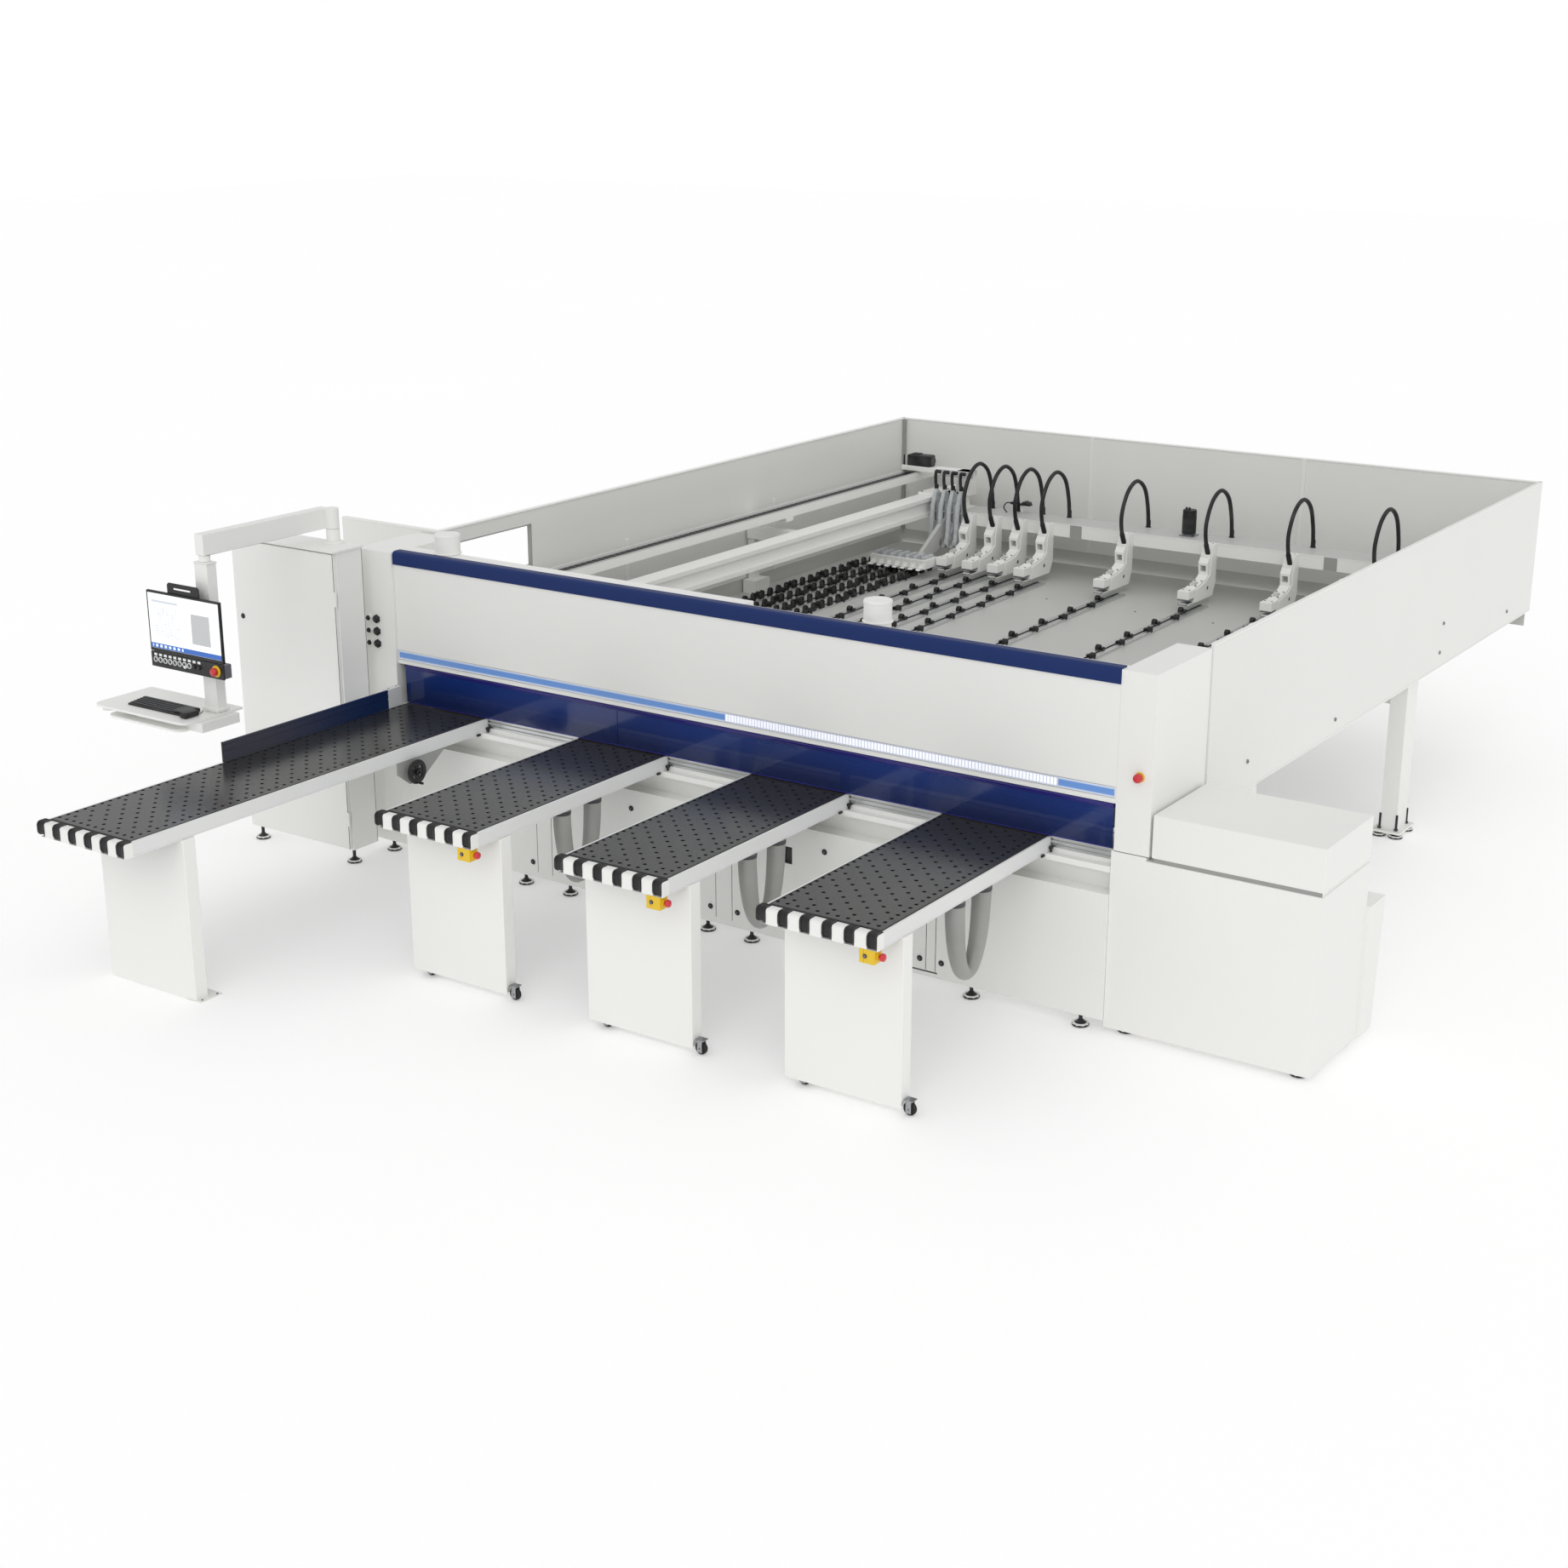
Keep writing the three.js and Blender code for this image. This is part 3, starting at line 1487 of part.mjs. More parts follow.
function combBlock() {
  const right = combLeft + combWidth;
  const body = block(
    combLeft, right, combFront, combFront + combDepth, combBottom, combBottom + combHeight,
  );
  const pocket = block(
    combLeft + combFingerWidth / 2, right - combFingerWidth / 2,
    combFront + combFingerWidth / 2, combFront + combDepth - combFingerWidth / 2,
    combBottom + combFingerWidth / 2, combBottom + combHeight + overrun,
  );
  const pitch = combWidth / combFingers;
  const fingers = Array.from({ length: combFingers }, (_, i) => block(
    combLeft + pitch / 2 + pitch * i - combFingerWidth / 2,
    combLeft + pitch / 2 + pitch * i + combFingerWidth / 2,
    combFront - combFingerLength, combFront + bite, combBottom, combBottom + combFingerWidth / 2,
  ));
  const strut = slabAlongX([
    [combFront + combDepth - bite, combBottom],
    [pusherFront - compactDepth * compactBackShare, combBottom + combHeight],
    [pusherFront + bite, pusherBottom],
    [pusherFront + bite, pusherBottom + combHeight],
    [combFront + combDepth - bite, combBottom + combHeight],
  ], compactXs[1] - compactWidth / 2, compactXs[1] + compactWidth / 2);
  return fuse([cut(body, [pocket]), ...fingers, strut]);
}

function pusherBeam() {
  const can = bar(
    "z", [motorCanX, pusherFront + pusherDepth / 2, pusherTop + motorCanHeight / 2 - bite],
    motorCanRadius, motorCanHeight, motorSides,
  );
  return fuse([
    pusherBar(), headBox(), combBlock(), can,
    ...gripperXs.map((x) => gripperArm(x)),
    ...gripperXs.map((x) => gripperLoop(x)),
    ...compactXs.map((x) => compactGripper(x)),
  ]);
}

// Control cabinet with the post of the console arm
function cabinetBody() {
  const front = cabinetFront + doorThickness + seat;
  const body = block(
    cabinetLeft, cabinetRight, front, cabinetBack, cabinetBottom, cabinetTop,
  );
  const roof = block(
    cabinetLeft - cabinetLip, cabinetRight + cabinetLip, cabinetFront - cabinetLip,
    cabinetBack + cabinetLip, cabinetTop - bite, cabinetTop + cabinetLip,
  );
  const post = bar(
    "z", [postX, postY, cabinetTop + postHeight / 2 - bite], postRadius, postHeight, motorSides,
  );
  const feet = [cabinetLeft + cabinetFootInset, cabinetRight - cabinetFootInset]
    .map((x) => levellingFoot(x, front + cabinetFootInset, cabinetBottom));
  return fuse([body, roof, post, ...feet]);
}

function cabinetDoor() {
  const leaf = block(
    cabinetLeft + doorMargin, cabinetRight - doorMargin, cabinetFront,
    cabinetFront + doorThickness, cabinetBottom + doorMargin, cabinetTop - doorMargin,
  );
  const lock = bar(
    "y", [cabinetLeft + doorMargin + doorLockInset, cabinetFront - lockDepth / 2 + bite, doorLockZ],
    lockRadius, lockDepth, lockSides,
  );
  return fuse([leaf, lock]);
}

// The arm turns on the post with a sleeve and runs past the post on its left
const armBottom = cabinetTop + postHeight - bite + armClearance;
const columnX = postX - armOffset;
const columnY = postY - armReach;
const columnTop = armBottom - stubHeight + 2 * bite - armClearance;

function swingArm() {
  const body = block(
    columnX - armWidth / 2, columnX + armWidth / 2, columnY - armWidth / 2, postY,
    armBottom, armBottom + armHeight,
  );
  const sleeve = bar(
    "z", [postX, postY, armBottom + armHeight / 2], postRadius, armHeight, motorSides,
  );
  const stub = bar(
    "z", [columnX, columnY, armBottom - stubHeight / 2 + bite], armWidth / 2 - bite, stubHeight,
    hubSides,
  );
  return fuse([body, sleeve, stub]);
}

const monitorFront = columnY - columnDepth / 2 - monitorStandOff - monitorThickness;

function consoleColumn() {
  const column = block(
    columnX - columnWidth / 2, columnX + columnWidth / 2, columnY - columnDepth / 2,
    columnY + columnDepth / 2, trayTop - bite, columnTop,
  );
  const arm = block(
    columnX + monitorOffset - bracketThickness, columnX, columnY - columnDepth / 2 - monitorStandOff + seat,
    columnY - columnDepth / 2 + bite, monitorBottom + panelHeight,
    monitorBottom + 2 * panelHeight,
  );
  return fuse([column, arm, keyTray()]);
}

function roundedPlate(x0, x1, y0, y1, z0, z1, corner) {
  const shape = new THREE.Shape();
  shape.moveTo(x0 + corner, y0);
  shape.lineTo(x1 - corner, y0);
  shape.absarc(x1 - corner, y0 + corner, corner, -Math.PI / 2, 0);
  shape.lineTo(x1, y1);
  shape.lineTo(x0, y1);
  shape.absarc(x0 + corner, y0 + corner, corner, Math.PI, 1.5 * Math.PI);
  const geometry = new THREE.ExtrudeGeometry(shape, {
    depth: z1 - z0, bevelEnabled: false, curveSegments: plateArcSteps,
  });
  geometry.translate(0, 0, z0);
  return solidOf(geometry);
}

function keyTray() {
  const middle = columnX + keyTrayShift;
  const back = columnY + keyTrayDepth / 2 - keyTrayForward + columnDepth / 2;
  const front = back - keyTrayDepth;
  const upper = roundedPlate(
    middle - keyTrayWidth / 2, middle + keyTrayWidth / 2, front, back,
    trayTop - keyTrayThickness, trayTop, keyTrayCorner,
  );
  const lowWidth = keyTrayWidth * shelfShare;
  const lower = roundedPlate(
    middle - lowWidth / 2, middle + lowWidth / 2, front + keyTrayCorner / 2, back,
    trayTop - shelfDrop - keyTrayThickness, trayTop - shelfDrop, keyTrayCorner,
  );
  const cheek = block(
    middle - lowWidth / 2, middle + lowWidth / 2, back - keyTrayThickness, back,
    trayTop - shelfDrop - bite, trayTop - keyTrayThickness + bite,
  );
  return fuse([upper, lower, cheek]);
}

function keyboard() {
  const middle = columnX + keyTrayShift;
  const front = columnY - keyTrayForward - keyTrayDepth / 4;
  const floor = trayTop + seat;
  const keys = slabAlongX([
    [front, floor],
    [front + keyboardDepth, floor],
    [front + keyboardDepth, floor + keyboardHeight],
    [front, floor + keyboardHeight - keyboardTilt],
  ], middle - keyboardWidth * keyboardLeftShare, middle + keyboardWidth * keyboardRightShare);
  const left = middle + keyboardWidth * keyboardRightShare - bite;
  const mouse = slabAlongX([
    [front - keyboardTilt, floor],
    [front + mouseLength, floor],
    [front + mouseLength, floor + mouseHeight / 2],
    [front + mouseLength / 2, floor + mouseHeight],
    [front - keyboardTilt, floor + mouseHeight / 3],
  ], left, left + mouseWidth);
  return fuse([keys, mouse]);
}

function monitor() {
  const left = columnX + monitorOffset - monitorWidth / 2;
  const right = left + monitorWidth;
  const back = monitorFront + monitorThickness;
  const body = block(left, right, monitorFront, back, monitorBottom, monitorBottom + monitorHeight);
  const screen = block(
    left + bezel, right - bezel, monitorFront - overrun, monitorFront + screenRecess,
    monitorBottom + 2 * bezel, monitorBottom + monitorHeight - bezel,
  );
  const middle = (left + right) / 2;
  const top = monitorBottom + monitorHeight;
  const bracket = block(
    middle - bracketWidth / 2, middle + bracketWidth / 2, back - bracketThickness, back,
    top - bite, top + bracketHeight,
  );
  const slot = block(
    middle - bracketWidth * slotLeftShare, middle + bracketWidth * slotRightShare,
    back - bracketThickness - overrun, back + overrun,
    top + bracketHeight - 2 * bracketSlot, top + bracketHeight - bracketSlot,
  );
  return fuse([cut(body, [screen]), cut(bracket, [slot])]);
}

function panelStopCentre() {
  return [
    columnX + monitorOffset + monitorWidth / 2 - panelStopInset,
    monitorFront,
    monitorBottom - panelGap - panelHeight / 2,
  ];
}

function buttonPanel() {
  const left = columnX + monitorOffset - monitorWidth / 2;
  const right = left + monitorWidth;
  const top = monitorBottom - panelGap;
  const body = block(left, right, monitorFront, monitorFront + panelDepth, top - panelHeight, top);
  const rings = Array.from({ length: ringCount }, (_, i) => bar(
    "y", [left + ringPitch * (i + 1), monitorFront - ringProud / 2 + bite, top - panelHeight / 2],
    ringRadius, ringProud, ringSides,
  ));
  const centre = panelStopCentre();
  const collar = bar(
    "y", [centre[0], centre[1] - stopCollarLength / 2 + bite, centre[2]],
    stopHeadRadius + stopTravel, stopCollarLength, stopSides,
  );
  const bore = bar("y", centre, stopStemRadius + axleFit, 4 * stopCollarLength, stopSides);
  return cut(fuse([body, ...rings, collar]), [bore]);
}

function panelStop() {
  const [x, y, z] = panelStopCentre();
  const face = y - stopCollarLength + bite;
  const stem = bar("y", [x, face, z], stopStemRadius, 2 * stopTravel + stopCollarLength, stopSides);
  const head = bar(
    "y", [x, face - stopTravel - axleFit - stopHeadLength / 2, z], stopHeadRadius, stopHeadLength,
    stopSides,
  );
  return fuse([stem, head]);
}

const tableXs = [
  0, firstTablePitch, firstTablePitch + tablePitch, firstTablePitch + 2 * tablePitch,
];
tableXs.forEach((x, i) => addTable(i + 1, x, i === 0 ? longTableLength : tableLength));
addPart("fence", fence(), "fenceBlue");
addPart("base_frame", baseFrame(), "whitePaint");
addPart("left_tower", leftTower(), "whitePaint");
addPart("bed", bed(), "aluminium");
addPart("beam_cover", beamCover(), "whitePaint");
addPart("beam_trim", beamTrim(), "blueTrim");
addPart("light_strip", lightStrip(), "stripBlue");
addPart("curtain", curtain(), "curtainBlue");
addPart("pressure_beam", pressureBeam(), "lightGrey");
addPart("right_tower", rightTower(), "whitePaint");
addPart("tower_stop", towerStop(), "stopRed");
addPart("blade_box", bladeBox(), "whitePaint");
addPart("blade_box_lid", bladeBoxLid(), "whitePaint");
addPart("saw_carriage", sawCarriage(), "lightGrey");
addPart("saw_lift", sawLift(), "lightGrey");
addPart("main_blade", blade(bladeX, bladeZ, bladeRadius, bladeTeeth), "steel");
addPart("scoring_blade", blade(scoringX, scoringZ, scoringRadius, scoringTeeth), "steel");
addPart("left_guard", leftGuard(), "whitePaint");
addPart("right_guard", rightGuard(), "whitePaint");
addPart("rear_guard", rearGuard(), "whitePaint");
addPart("rear_frame", rearFrame(), "whitePaint");
addPart("roller_bed", rollerBed(), "lightGrey");
addPart("pusher_beam", pusherBeam(), "whitePaint");
gripperXs.forEach((x, i) => addPart(`gripper_jaw_${i + 1}`, gripperJaw(x), "steel"));
addPart("cabinet_body", cabinetBody(), "whitePaint");
addPart("cabinet_door", cabinetDoor(), "whitePaint");
addPart("swing_arm", swingArm(), "whitePaint");
addPart("console_column", consoleColumn(), "lightGrey");
addPart("keyboard", keyboard(), "blackPlastic");
addPart("monitor", monitor(), "monitorDark");
addPart("button_panel", buttonPanel(), "blackPlastic");
addPart("panel_stop", panelStop(), "stopRed");

const box = new THREE.Box3().setFromObject(machine);
const middle = box.getCenter(new THREE.Vector3());
machine.position.set(-middle.x, -middle.y, -box.min.z);
const model = new THREE.Group();
model.add(machine);

export default model;
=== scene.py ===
# %% [markdown]
# A panel-sizing beam saw, dressed for a photograph. The solid frame of the machine comes from
# its CAD model; here the plain solids get paint, and the pieces that show real workmanship
# are modelled again with the same sizes, riding on the same moving bodies.

# %% Load the frame
import json
import math
import bpy
from mathutils import Matrix, Vector

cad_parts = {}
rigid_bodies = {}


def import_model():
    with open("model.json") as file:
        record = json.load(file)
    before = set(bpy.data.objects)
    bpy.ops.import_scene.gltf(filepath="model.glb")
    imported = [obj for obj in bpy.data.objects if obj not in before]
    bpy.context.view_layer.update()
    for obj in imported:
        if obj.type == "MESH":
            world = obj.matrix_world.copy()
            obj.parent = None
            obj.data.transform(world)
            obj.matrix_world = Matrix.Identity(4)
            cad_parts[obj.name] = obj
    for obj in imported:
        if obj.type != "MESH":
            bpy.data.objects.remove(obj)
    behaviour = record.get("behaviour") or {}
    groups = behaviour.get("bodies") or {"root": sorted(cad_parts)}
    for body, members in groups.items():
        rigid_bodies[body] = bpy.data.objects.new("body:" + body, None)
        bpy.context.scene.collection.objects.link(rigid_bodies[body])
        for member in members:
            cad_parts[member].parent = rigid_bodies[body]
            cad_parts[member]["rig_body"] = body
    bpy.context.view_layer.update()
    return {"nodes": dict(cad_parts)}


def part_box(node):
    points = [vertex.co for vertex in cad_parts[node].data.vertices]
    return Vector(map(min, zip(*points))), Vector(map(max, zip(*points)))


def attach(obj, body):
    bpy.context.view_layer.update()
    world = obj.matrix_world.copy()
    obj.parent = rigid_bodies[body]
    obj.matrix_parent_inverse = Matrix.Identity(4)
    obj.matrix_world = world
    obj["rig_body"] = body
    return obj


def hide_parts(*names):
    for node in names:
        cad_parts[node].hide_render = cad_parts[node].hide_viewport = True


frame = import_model()

# %% [markdown]
# Every size below is in millimetres from one corner that is easy to find on the machine: x is
# counted from the fence, y from the front edge of the bed and z from the floor. Measuring that
# corner on the loaded frame keeps these numbers tied to the CAD model.

# %% The corner that sizes are counted from
corner = Vector((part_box("fence")[1].x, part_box("bed")[0].y, 0))


def at(x, y, z):
    """A point in the row frame, in metres, from millimetres counted from the corner."""
    return corner + Vector((x, y, z)) / 1000


print("corner", [round(v, 4) for v in corner])

# %% [markdown]
# Modelling by script follows what a hand does in the window: deselect all, add a primitive at
# its size, shape it in edit mode, and apply its modifiers. These helpers hold those steps.
# A finished piece keeps its place in its mesh, with its object at the origin.

# %% Helpers that start and settle a piece
def lone():
    bpy.ops.object.select_all(action="DESELECT")


def activate(piece):
    lone()
    piece.select_set(True)
    bpy.context.view_layer.objects.active = piece


def settle(piece, name):
    piece.name = name
    piece.data.name = name
    activate(piece)
    bpy.ops.object.transform_apply(location=True, rotation=True, scale=True)
    return piece


def modified(piece, kind, **settings):
    activate(piece)
    modifier = piece.modifiers.new(kind.lower(), kind)
    for key, value in settings.items():
        setattr(modifier, key, value)
    bpy.ops.object.modifier_apply(modifier=modifier.name)
    return piece


def shaded(piece):
    """Round parts shade smooth while broad flat faces stay flat up to their edges."""
    activate(piece)
    if piece.data.has_custom_normals:
        bpy.ops.mesh.customdata_custom_splitnormals_clear()
    bpy.ops.object.shade_smooth_by_angle(angle=math.radians(50))
    return modified(piece, "WEIGHTED_NORMAL", keep_sharp=True)


def softened(piece, edge, turns=2):
    """Rounds the sharp edges by so many millimetres."""
    if edge:
        modified(
            piece, "BEVEL", width=edge / 1000, segments=turns, limit_method="ANGLE",
            angle_limit=math.radians(40),
        )
    return shaded(piece)


# %% Helpers for blocks, bars, pushed outlines and turned outlines
def block(name, xs, ys, zs, edge=2.0, turns=2):
    lone()
    middle = at(sum(xs) / 2, sum(ys) / 2, sum(zs) / 2)
    bpy.ops.mesh.primitive_cube_add(size=1, location=middle)
    piece = bpy.context.object
    piece.scale = Vector((xs[1] - xs[0], ys[1] - ys[0], zs[1] - zs[0])) / 1000
    return softened(settle(piece, name), edge, turns)


TURN = {"x": (0, math.pi / 2, 0), "y": (-math.pi / 2, 0, 0), "z": (0, 0, 0)}


def bar(name, axis, middle, radius, length, sides=24, edge=1.0):
    lone()
    bpy.ops.mesh.primitive_cylinder_add(
        vertices=sides, radius=radius / 1000, depth=length / 1000, location=at(*middle),
        rotation=TURN[axis],
    )
    return softened(settle(bpy.context.object, name), edge, 2)


def drawn(name, points, faces, edges=()):
    """The outline of a piece laid down as a flat face or a line, ready to be pushed or spun."""
    mesh = bpy.data.meshes.new(name)
    mesh.from_pydata(points, list(edges), faces)
    piece = bpy.data.objects.new(name, mesh)
    bpy.context.scene.collection.objects.link(piece)
    activate(piece)
    return piece


def pushed(name, axis, outline, start, end, edge=0.0, turns=2):
    """An outline of two coordinates pushed along the third."""
    order = {"x": lambda a, b: (start, a, b), "y": lambda a, b: (a, start, b),
             "z": lambda a, b: (a, b, start)}[axis]
    piece = drawn(name, [at(*order(a, b)) for a, b in outline], [tuple(range(len(outline)))])
    bpy.ops.object.mode_set(mode="EDIT")
    bpy.ops.mesh.select_all(action="SELECT")
    step = Vector([(end - start) / 1000 if axis == name_ else 0 for name_ in "xyz"])
    bpy.ops.mesh.extrude_region_move(TRANSFORM_OT_translate={"value": step})
    bpy.ops.mesh.select_all(action="SELECT")
    bpy.ops.mesh.normals_make_consistent(inside=False)
    bpy.ops.object.mode_set(mode="OBJECT")
    return softened(piece, edge, turns)


def turned(name, axis, middle, outline, steps=28):
    """An outline of radius and height spun round its axis, as on a lathe."""
    points = [(radius / 1000, 0, height / 1000) for radius, height in outline]
    piece = drawn(name, points, [], [(i, i + 1) for i in range(len(points) - 1)])
    bpy.ops.object.mode_set(mode="EDIT")
    bpy.ops.mesh.select_all(action="SELECT")
    bpy.ops.mesh.spin(steps=steps, angle=2 * math.pi, center=(0, 0, 0), axis=(0, 0, 1))
    bpy.ops.mesh.select_all(action="SELECT")
    bpy.ops.mesh.remove_doubles(threshold=0.00002)
    bpy.ops.mesh.normals_make_consistent(inside=False)
    bpy.ops.object.mode_set(mode="OBJECT")
    piece.rotation_euler = TURN[axis]
    piece.location = at(*middle)
    return softened(settle(piece, name), 0)


# %% Helpers for hoses, rows, cuts and joined pieces
def hose(name, points, radii, sides=12):
    """A smooth tube through points; radii is one radius or one for each point."""
    lone()
    curve = bpy.data.curves.new(name, "CURVE")
    curve.dimensions = "3D"
    curve.resolution_u = 10
    curve.bevel_depth = 0.001
    curve.bevel_resolution = max(1, sides // 4 - 1)
    curve.use_fill_caps = True
    line = curve.splines.new("NURBS")
    line.points.add(len(points) - 1)
    sizes = radii if isinstance(radii, (list, tuple)) else [radii] * len(points)
    for knot, point, size in zip(line.points, points, sizes):
        knot.co = (*at(*point), 1)
        knot.radius = size
    line.use_endpoint_u = True
    line.order_u = 4
    piece = bpy.data.objects.new(name, curve)
    bpy.context.scene.collection.objects.link(piece)
    activate(piece)
    bpy.ops.object.convert(target="MESH")
    return softened(settle(bpy.context.object, name), 0)


def rowed(piece, count, x=0.0, y=0.0, z=0.0):
    """Repeats a piece in a row, one step of so many millimetres at a time."""
    return modified(
        piece, "ARRAY", count=count, use_relative_offset=False, use_constant_offset=True,
        constant_offset_displace=Vector((x, y, z)) / 1000,
    )


def copied(piece, name, x=0.0, y=0.0, z=0.0):
    twin = piece.copy()
    twin.data = piece.data.copy()
    twin.name = name
    bpy.context.scene.collection.objects.link(twin)
    twin.data.transform(Matrix.Translation(Vector((x, y, z)) / 1000))
    return twin


def carved(piece, *cutters):
    for cutter in cutters:
        modified(
            piece, "BOOLEAN", operation="DIFFERENCE", solver="EXACT", object=cutter,
            material_mode="TRANSFER",
        )
        bpy.data.objects.remove(cutter)
    return shaded(piece)


def joined(name, pieces):
    lone()
    for piece in pieces:
        piece.select_set(True)
    bpy.context.view_layer.objects.active = pieces[0]
    bpy.ops.object.join()
    whole = bpy.context.object
    whole.name = name
    return whole


# %% Helpers that paint a piece and hang it on the frame
def painted(piece, look):
    piece.data.materials.clear()
    piece.data.materials.append(look)
    return piece


made = []


def fitted(piece, body, *nodes):
    """The piece moves with that body, and stands for the CAD nodes that are named."""
    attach(piece, body)
    if nodes:
        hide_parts(*nodes)
    made.append(piece)
    return piece


def dressed(node, look, edge=3.0):
    """A merged copy of a CAD node, painted and with rounded edges, stands for that node."""
    source = frame["nodes"][node]
    piece = bpy.data.objects.new(f"{node}_skin", source.data.copy())
    bpy.context.scene.collection.objects.link(piece)
    piece.matrix_world = source.matrix_world.copy()
    activate(piece)
    bpy.ops.mesh.customdata_custom_splitnormals_clear()
    settle(piece, f"{node}_skin")
    modified(piece, "WELD", merge_threshold=0.00002)
    modified(piece, "DECIMATE", decimate_type="DISSOLVE", angle_limit=math.radians(0.5))
    return fitted(painted(softened(piece, edge), look), source["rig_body"], node)


print("helpers ready")

# %% [markdown]
# Finishes are shader sums. A small class wraps a socket so that such a sum reads as Python:
# adding or multiplying two values adds a Math node, and one method makes any other node.

# %% A socket that adds and multiplies
class Wire:
    def __init__(self, finish, socket):
        self.finish = finish
        self.socket = socket

    def sum(self, operation, first, second=0.0):
        return self.finish.node("ShaderNodeMath", {"operation": operation},
                                {0: first, 1: second})[0]

    def __add__(self, other):
        return self.sum("ADD", self, other)

    def __radd__(self, other):
        return self.sum("ADD", other, self)

    def __sub__(self, other):
        return self.sum("SUBTRACT", self, other)

    def __rsub__(self, other):
        return self.sum("SUBTRACT", other, self)

    def __mul__(self, other):
        return self.sum("MULTIPLY", self, other)

    def __rmul__(self, other):
        return self.sum("MULTIPLY", other, self)

    def __truediv__(self, other):
        return self.sum("DIVIDE", self, other)

    def __mod__(self, other):
        return self.sum("FLOORED_MODULO", self, other)

    def __pow__(self, other):
        return self.sum("POWER", self, other)

    def __gt__(self, other):
        return self.sum("GREATER_THAN", self, other)

    def __lt__(self, other):
        return self.sum("LESS_THAN", self, other)

    def __abs__(self):
        return self.sum("ABSOLUTE", self)


# %% A finish and its nodes
def tone(code, gain=1.0):
    """A colour given as on a colour chart, turned to the linear light that shaders use."""
    values = [int(code[i:i + 2], 16) / 255 for i in (0, 2, 4)]
    linear = [v / 12.92 if v < 0.04045 else ((v + 0.055) / 1.055) ** 2.4 for v in values]
    return (*[min(1.0, v * gain) for v in linear], 1.0)


class Finish:
    def __init__(self, name):
        self.material = bpy.data.materials.new(name)
        self.material.use_nodes = True
        self.tree = self.material.node_tree
        self.shader = self.tree.nodes["Principled BSDF"]

    def join(self, value, socket):
        if isinstance(value, Wire):
            self.tree.links.new(value.socket, socket)
        else:
            socket.default_value = value

    def node(self, kind, settings=None, values=None):
        node = self.tree.nodes.new(kind)
        for key, value in (settings or {}).items():
            setattr(node, key, value)
        for key, value in (values or {}).items():
            self.join(value, node.inputs[key])
        return [Wire(self, output) for output in node.outputs]

    def place(self, stretch=(1, 1, 1)):
        """Object coordinates in metres, stretched if asked."""
        coordinates = self.node("ShaderNodeTexCoord")[3]
        if stretch == (1, 1, 1):
            return coordinates
        return self.node("ShaderNodeMapping", {}, {"Vector": coordinates, "Scale": stretch})[0]

    def along(self, axis):
        return self.node("ShaderNodeSeparateXYZ", {}, {0: self.place()})["xyz".index(axis)]

    def noise(self, scale, detail=2.0, stretch=(1, 1, 1)):
        return self.node("ShaderNodeTexNoise", {}, {
            "Vector": self.place(stretch), "Scale": scale, "Detail": detail,
        })[0]

    def mix(self, share, first, second):
        return self.node("ShaderNodeMix", {"data_type": "RGBA"}, {
            0: share, 6: first, 7: second,
        })[2]

    def ramp(self, value, low, high):
        """0 below low, 1 above high and smooth between."""
        return self.node("ShaderNodeMapRange", {"interpolation_type": "SMOOTHSTEP"}, {
            "Value": value, "From Min": low, "From Max": high,
        })[0]

    def bump(self, height, depth, strength=1.0):
        """Depth is in millimetres."""
        normal = self.node("ShaderNodeBump", {}, {
            "Height": height, "Distance": depth / 1000, "Strength": strength,
        })[0]
        self.join(normal, self.shader.inputs["Normal"])

    def set(self, **values):
        for key, value in values.items():
            self.join(value, self.shader.inputs[key.replace("_", " ")])
        return self.material


print("finish helpers ready")
# %% [markdown]
# The sheet metal is powder coated in a warm white. Such a coat is never one flat colour: it
# has a faint orange-peel skin and slow changes of tone, so a broad noise moves the colour and
# the gloss a little and a fine noise feeds a weak bump.

# %% Powder coat
def coated(name, code, rough=0.42, sway=0.035, peel=0.06, coat=0.0, metal=0.0):
    finish = Finish(name)
    broad = finish.noise(1.3, 3.0)
    fine = finish.noise(380, 2.0)
    colour = finish.mix(broad, tone(code, 1 - sway), tone(code, 1 + sway))
    finish.bump(fine, 0.25, peel)
    return finish.set(
        Base_Color=colour, Roughness=rough + (broad - 0.5) * 0.12 + (fine - 0.5) * 0.06,
        Metallic=metal, Coat_Weight=coat,
    )


white = coated("powder coat white", "F3F3F0", 0.40, 0.02)
soft_white = coated("powder coat soft white", "EEEEEB", 0.46, 0.025)
light_grey = coated("powder coat light grey", "C9CAC7", 0.42)
mid_grey = coated("powder coat mid grey", "9FA09D", 0.48)
deck_grey = coated("deck sheet grey", "C4C5C1", 0.38, 0.05)
band_blue = coated("band lacquer blue", "0C2A66", 0.5, 0.05, 0.04)
band_blue.node_tree.nodes["Principled BSDF"].inputs["Specular IOR Level"].default_value = 0.3
stop_yellow = coated("stop box yellow", "E9C21A", 0.38, 0.04, 0.05, 0.2)
stop_red = coated("stop button red", "D2202C", 0.28, 0.05, 0.03, 0.5)
signal_white = coated("label white", "F2F3F4", 0.35, 0.02, 0.02)
print("powder coats ready")

# %% [markdown]
# Black parts are moulded plastic and rubber. Moulded plastic shows a fine leather-like grain
# that breaks up its highlights, which a cell pattern gives; rubber is duller and a bit dusty.

# %% Moulded black and rubber
def moulded(name, code, rough, grain=0.12, scale=700, dust=0.12):
    finish = Finish(name)
    cells = finish.node("ShaderNodeTexVoronoi", {}, {
        "Vector": finish.place(), "Scale": float(scale),
    })[0]
    wear = finish.ramp(finish.noise(9, 4.0), 0.45, 0.75)
    colour = finish.mix(wear * dust, tone(code), tone("8A8A88"))
    finish.bump(cells, 0.3, grain)
    return finish.set(Base_Color=colour, Roughness=rough + wear * 0.12)


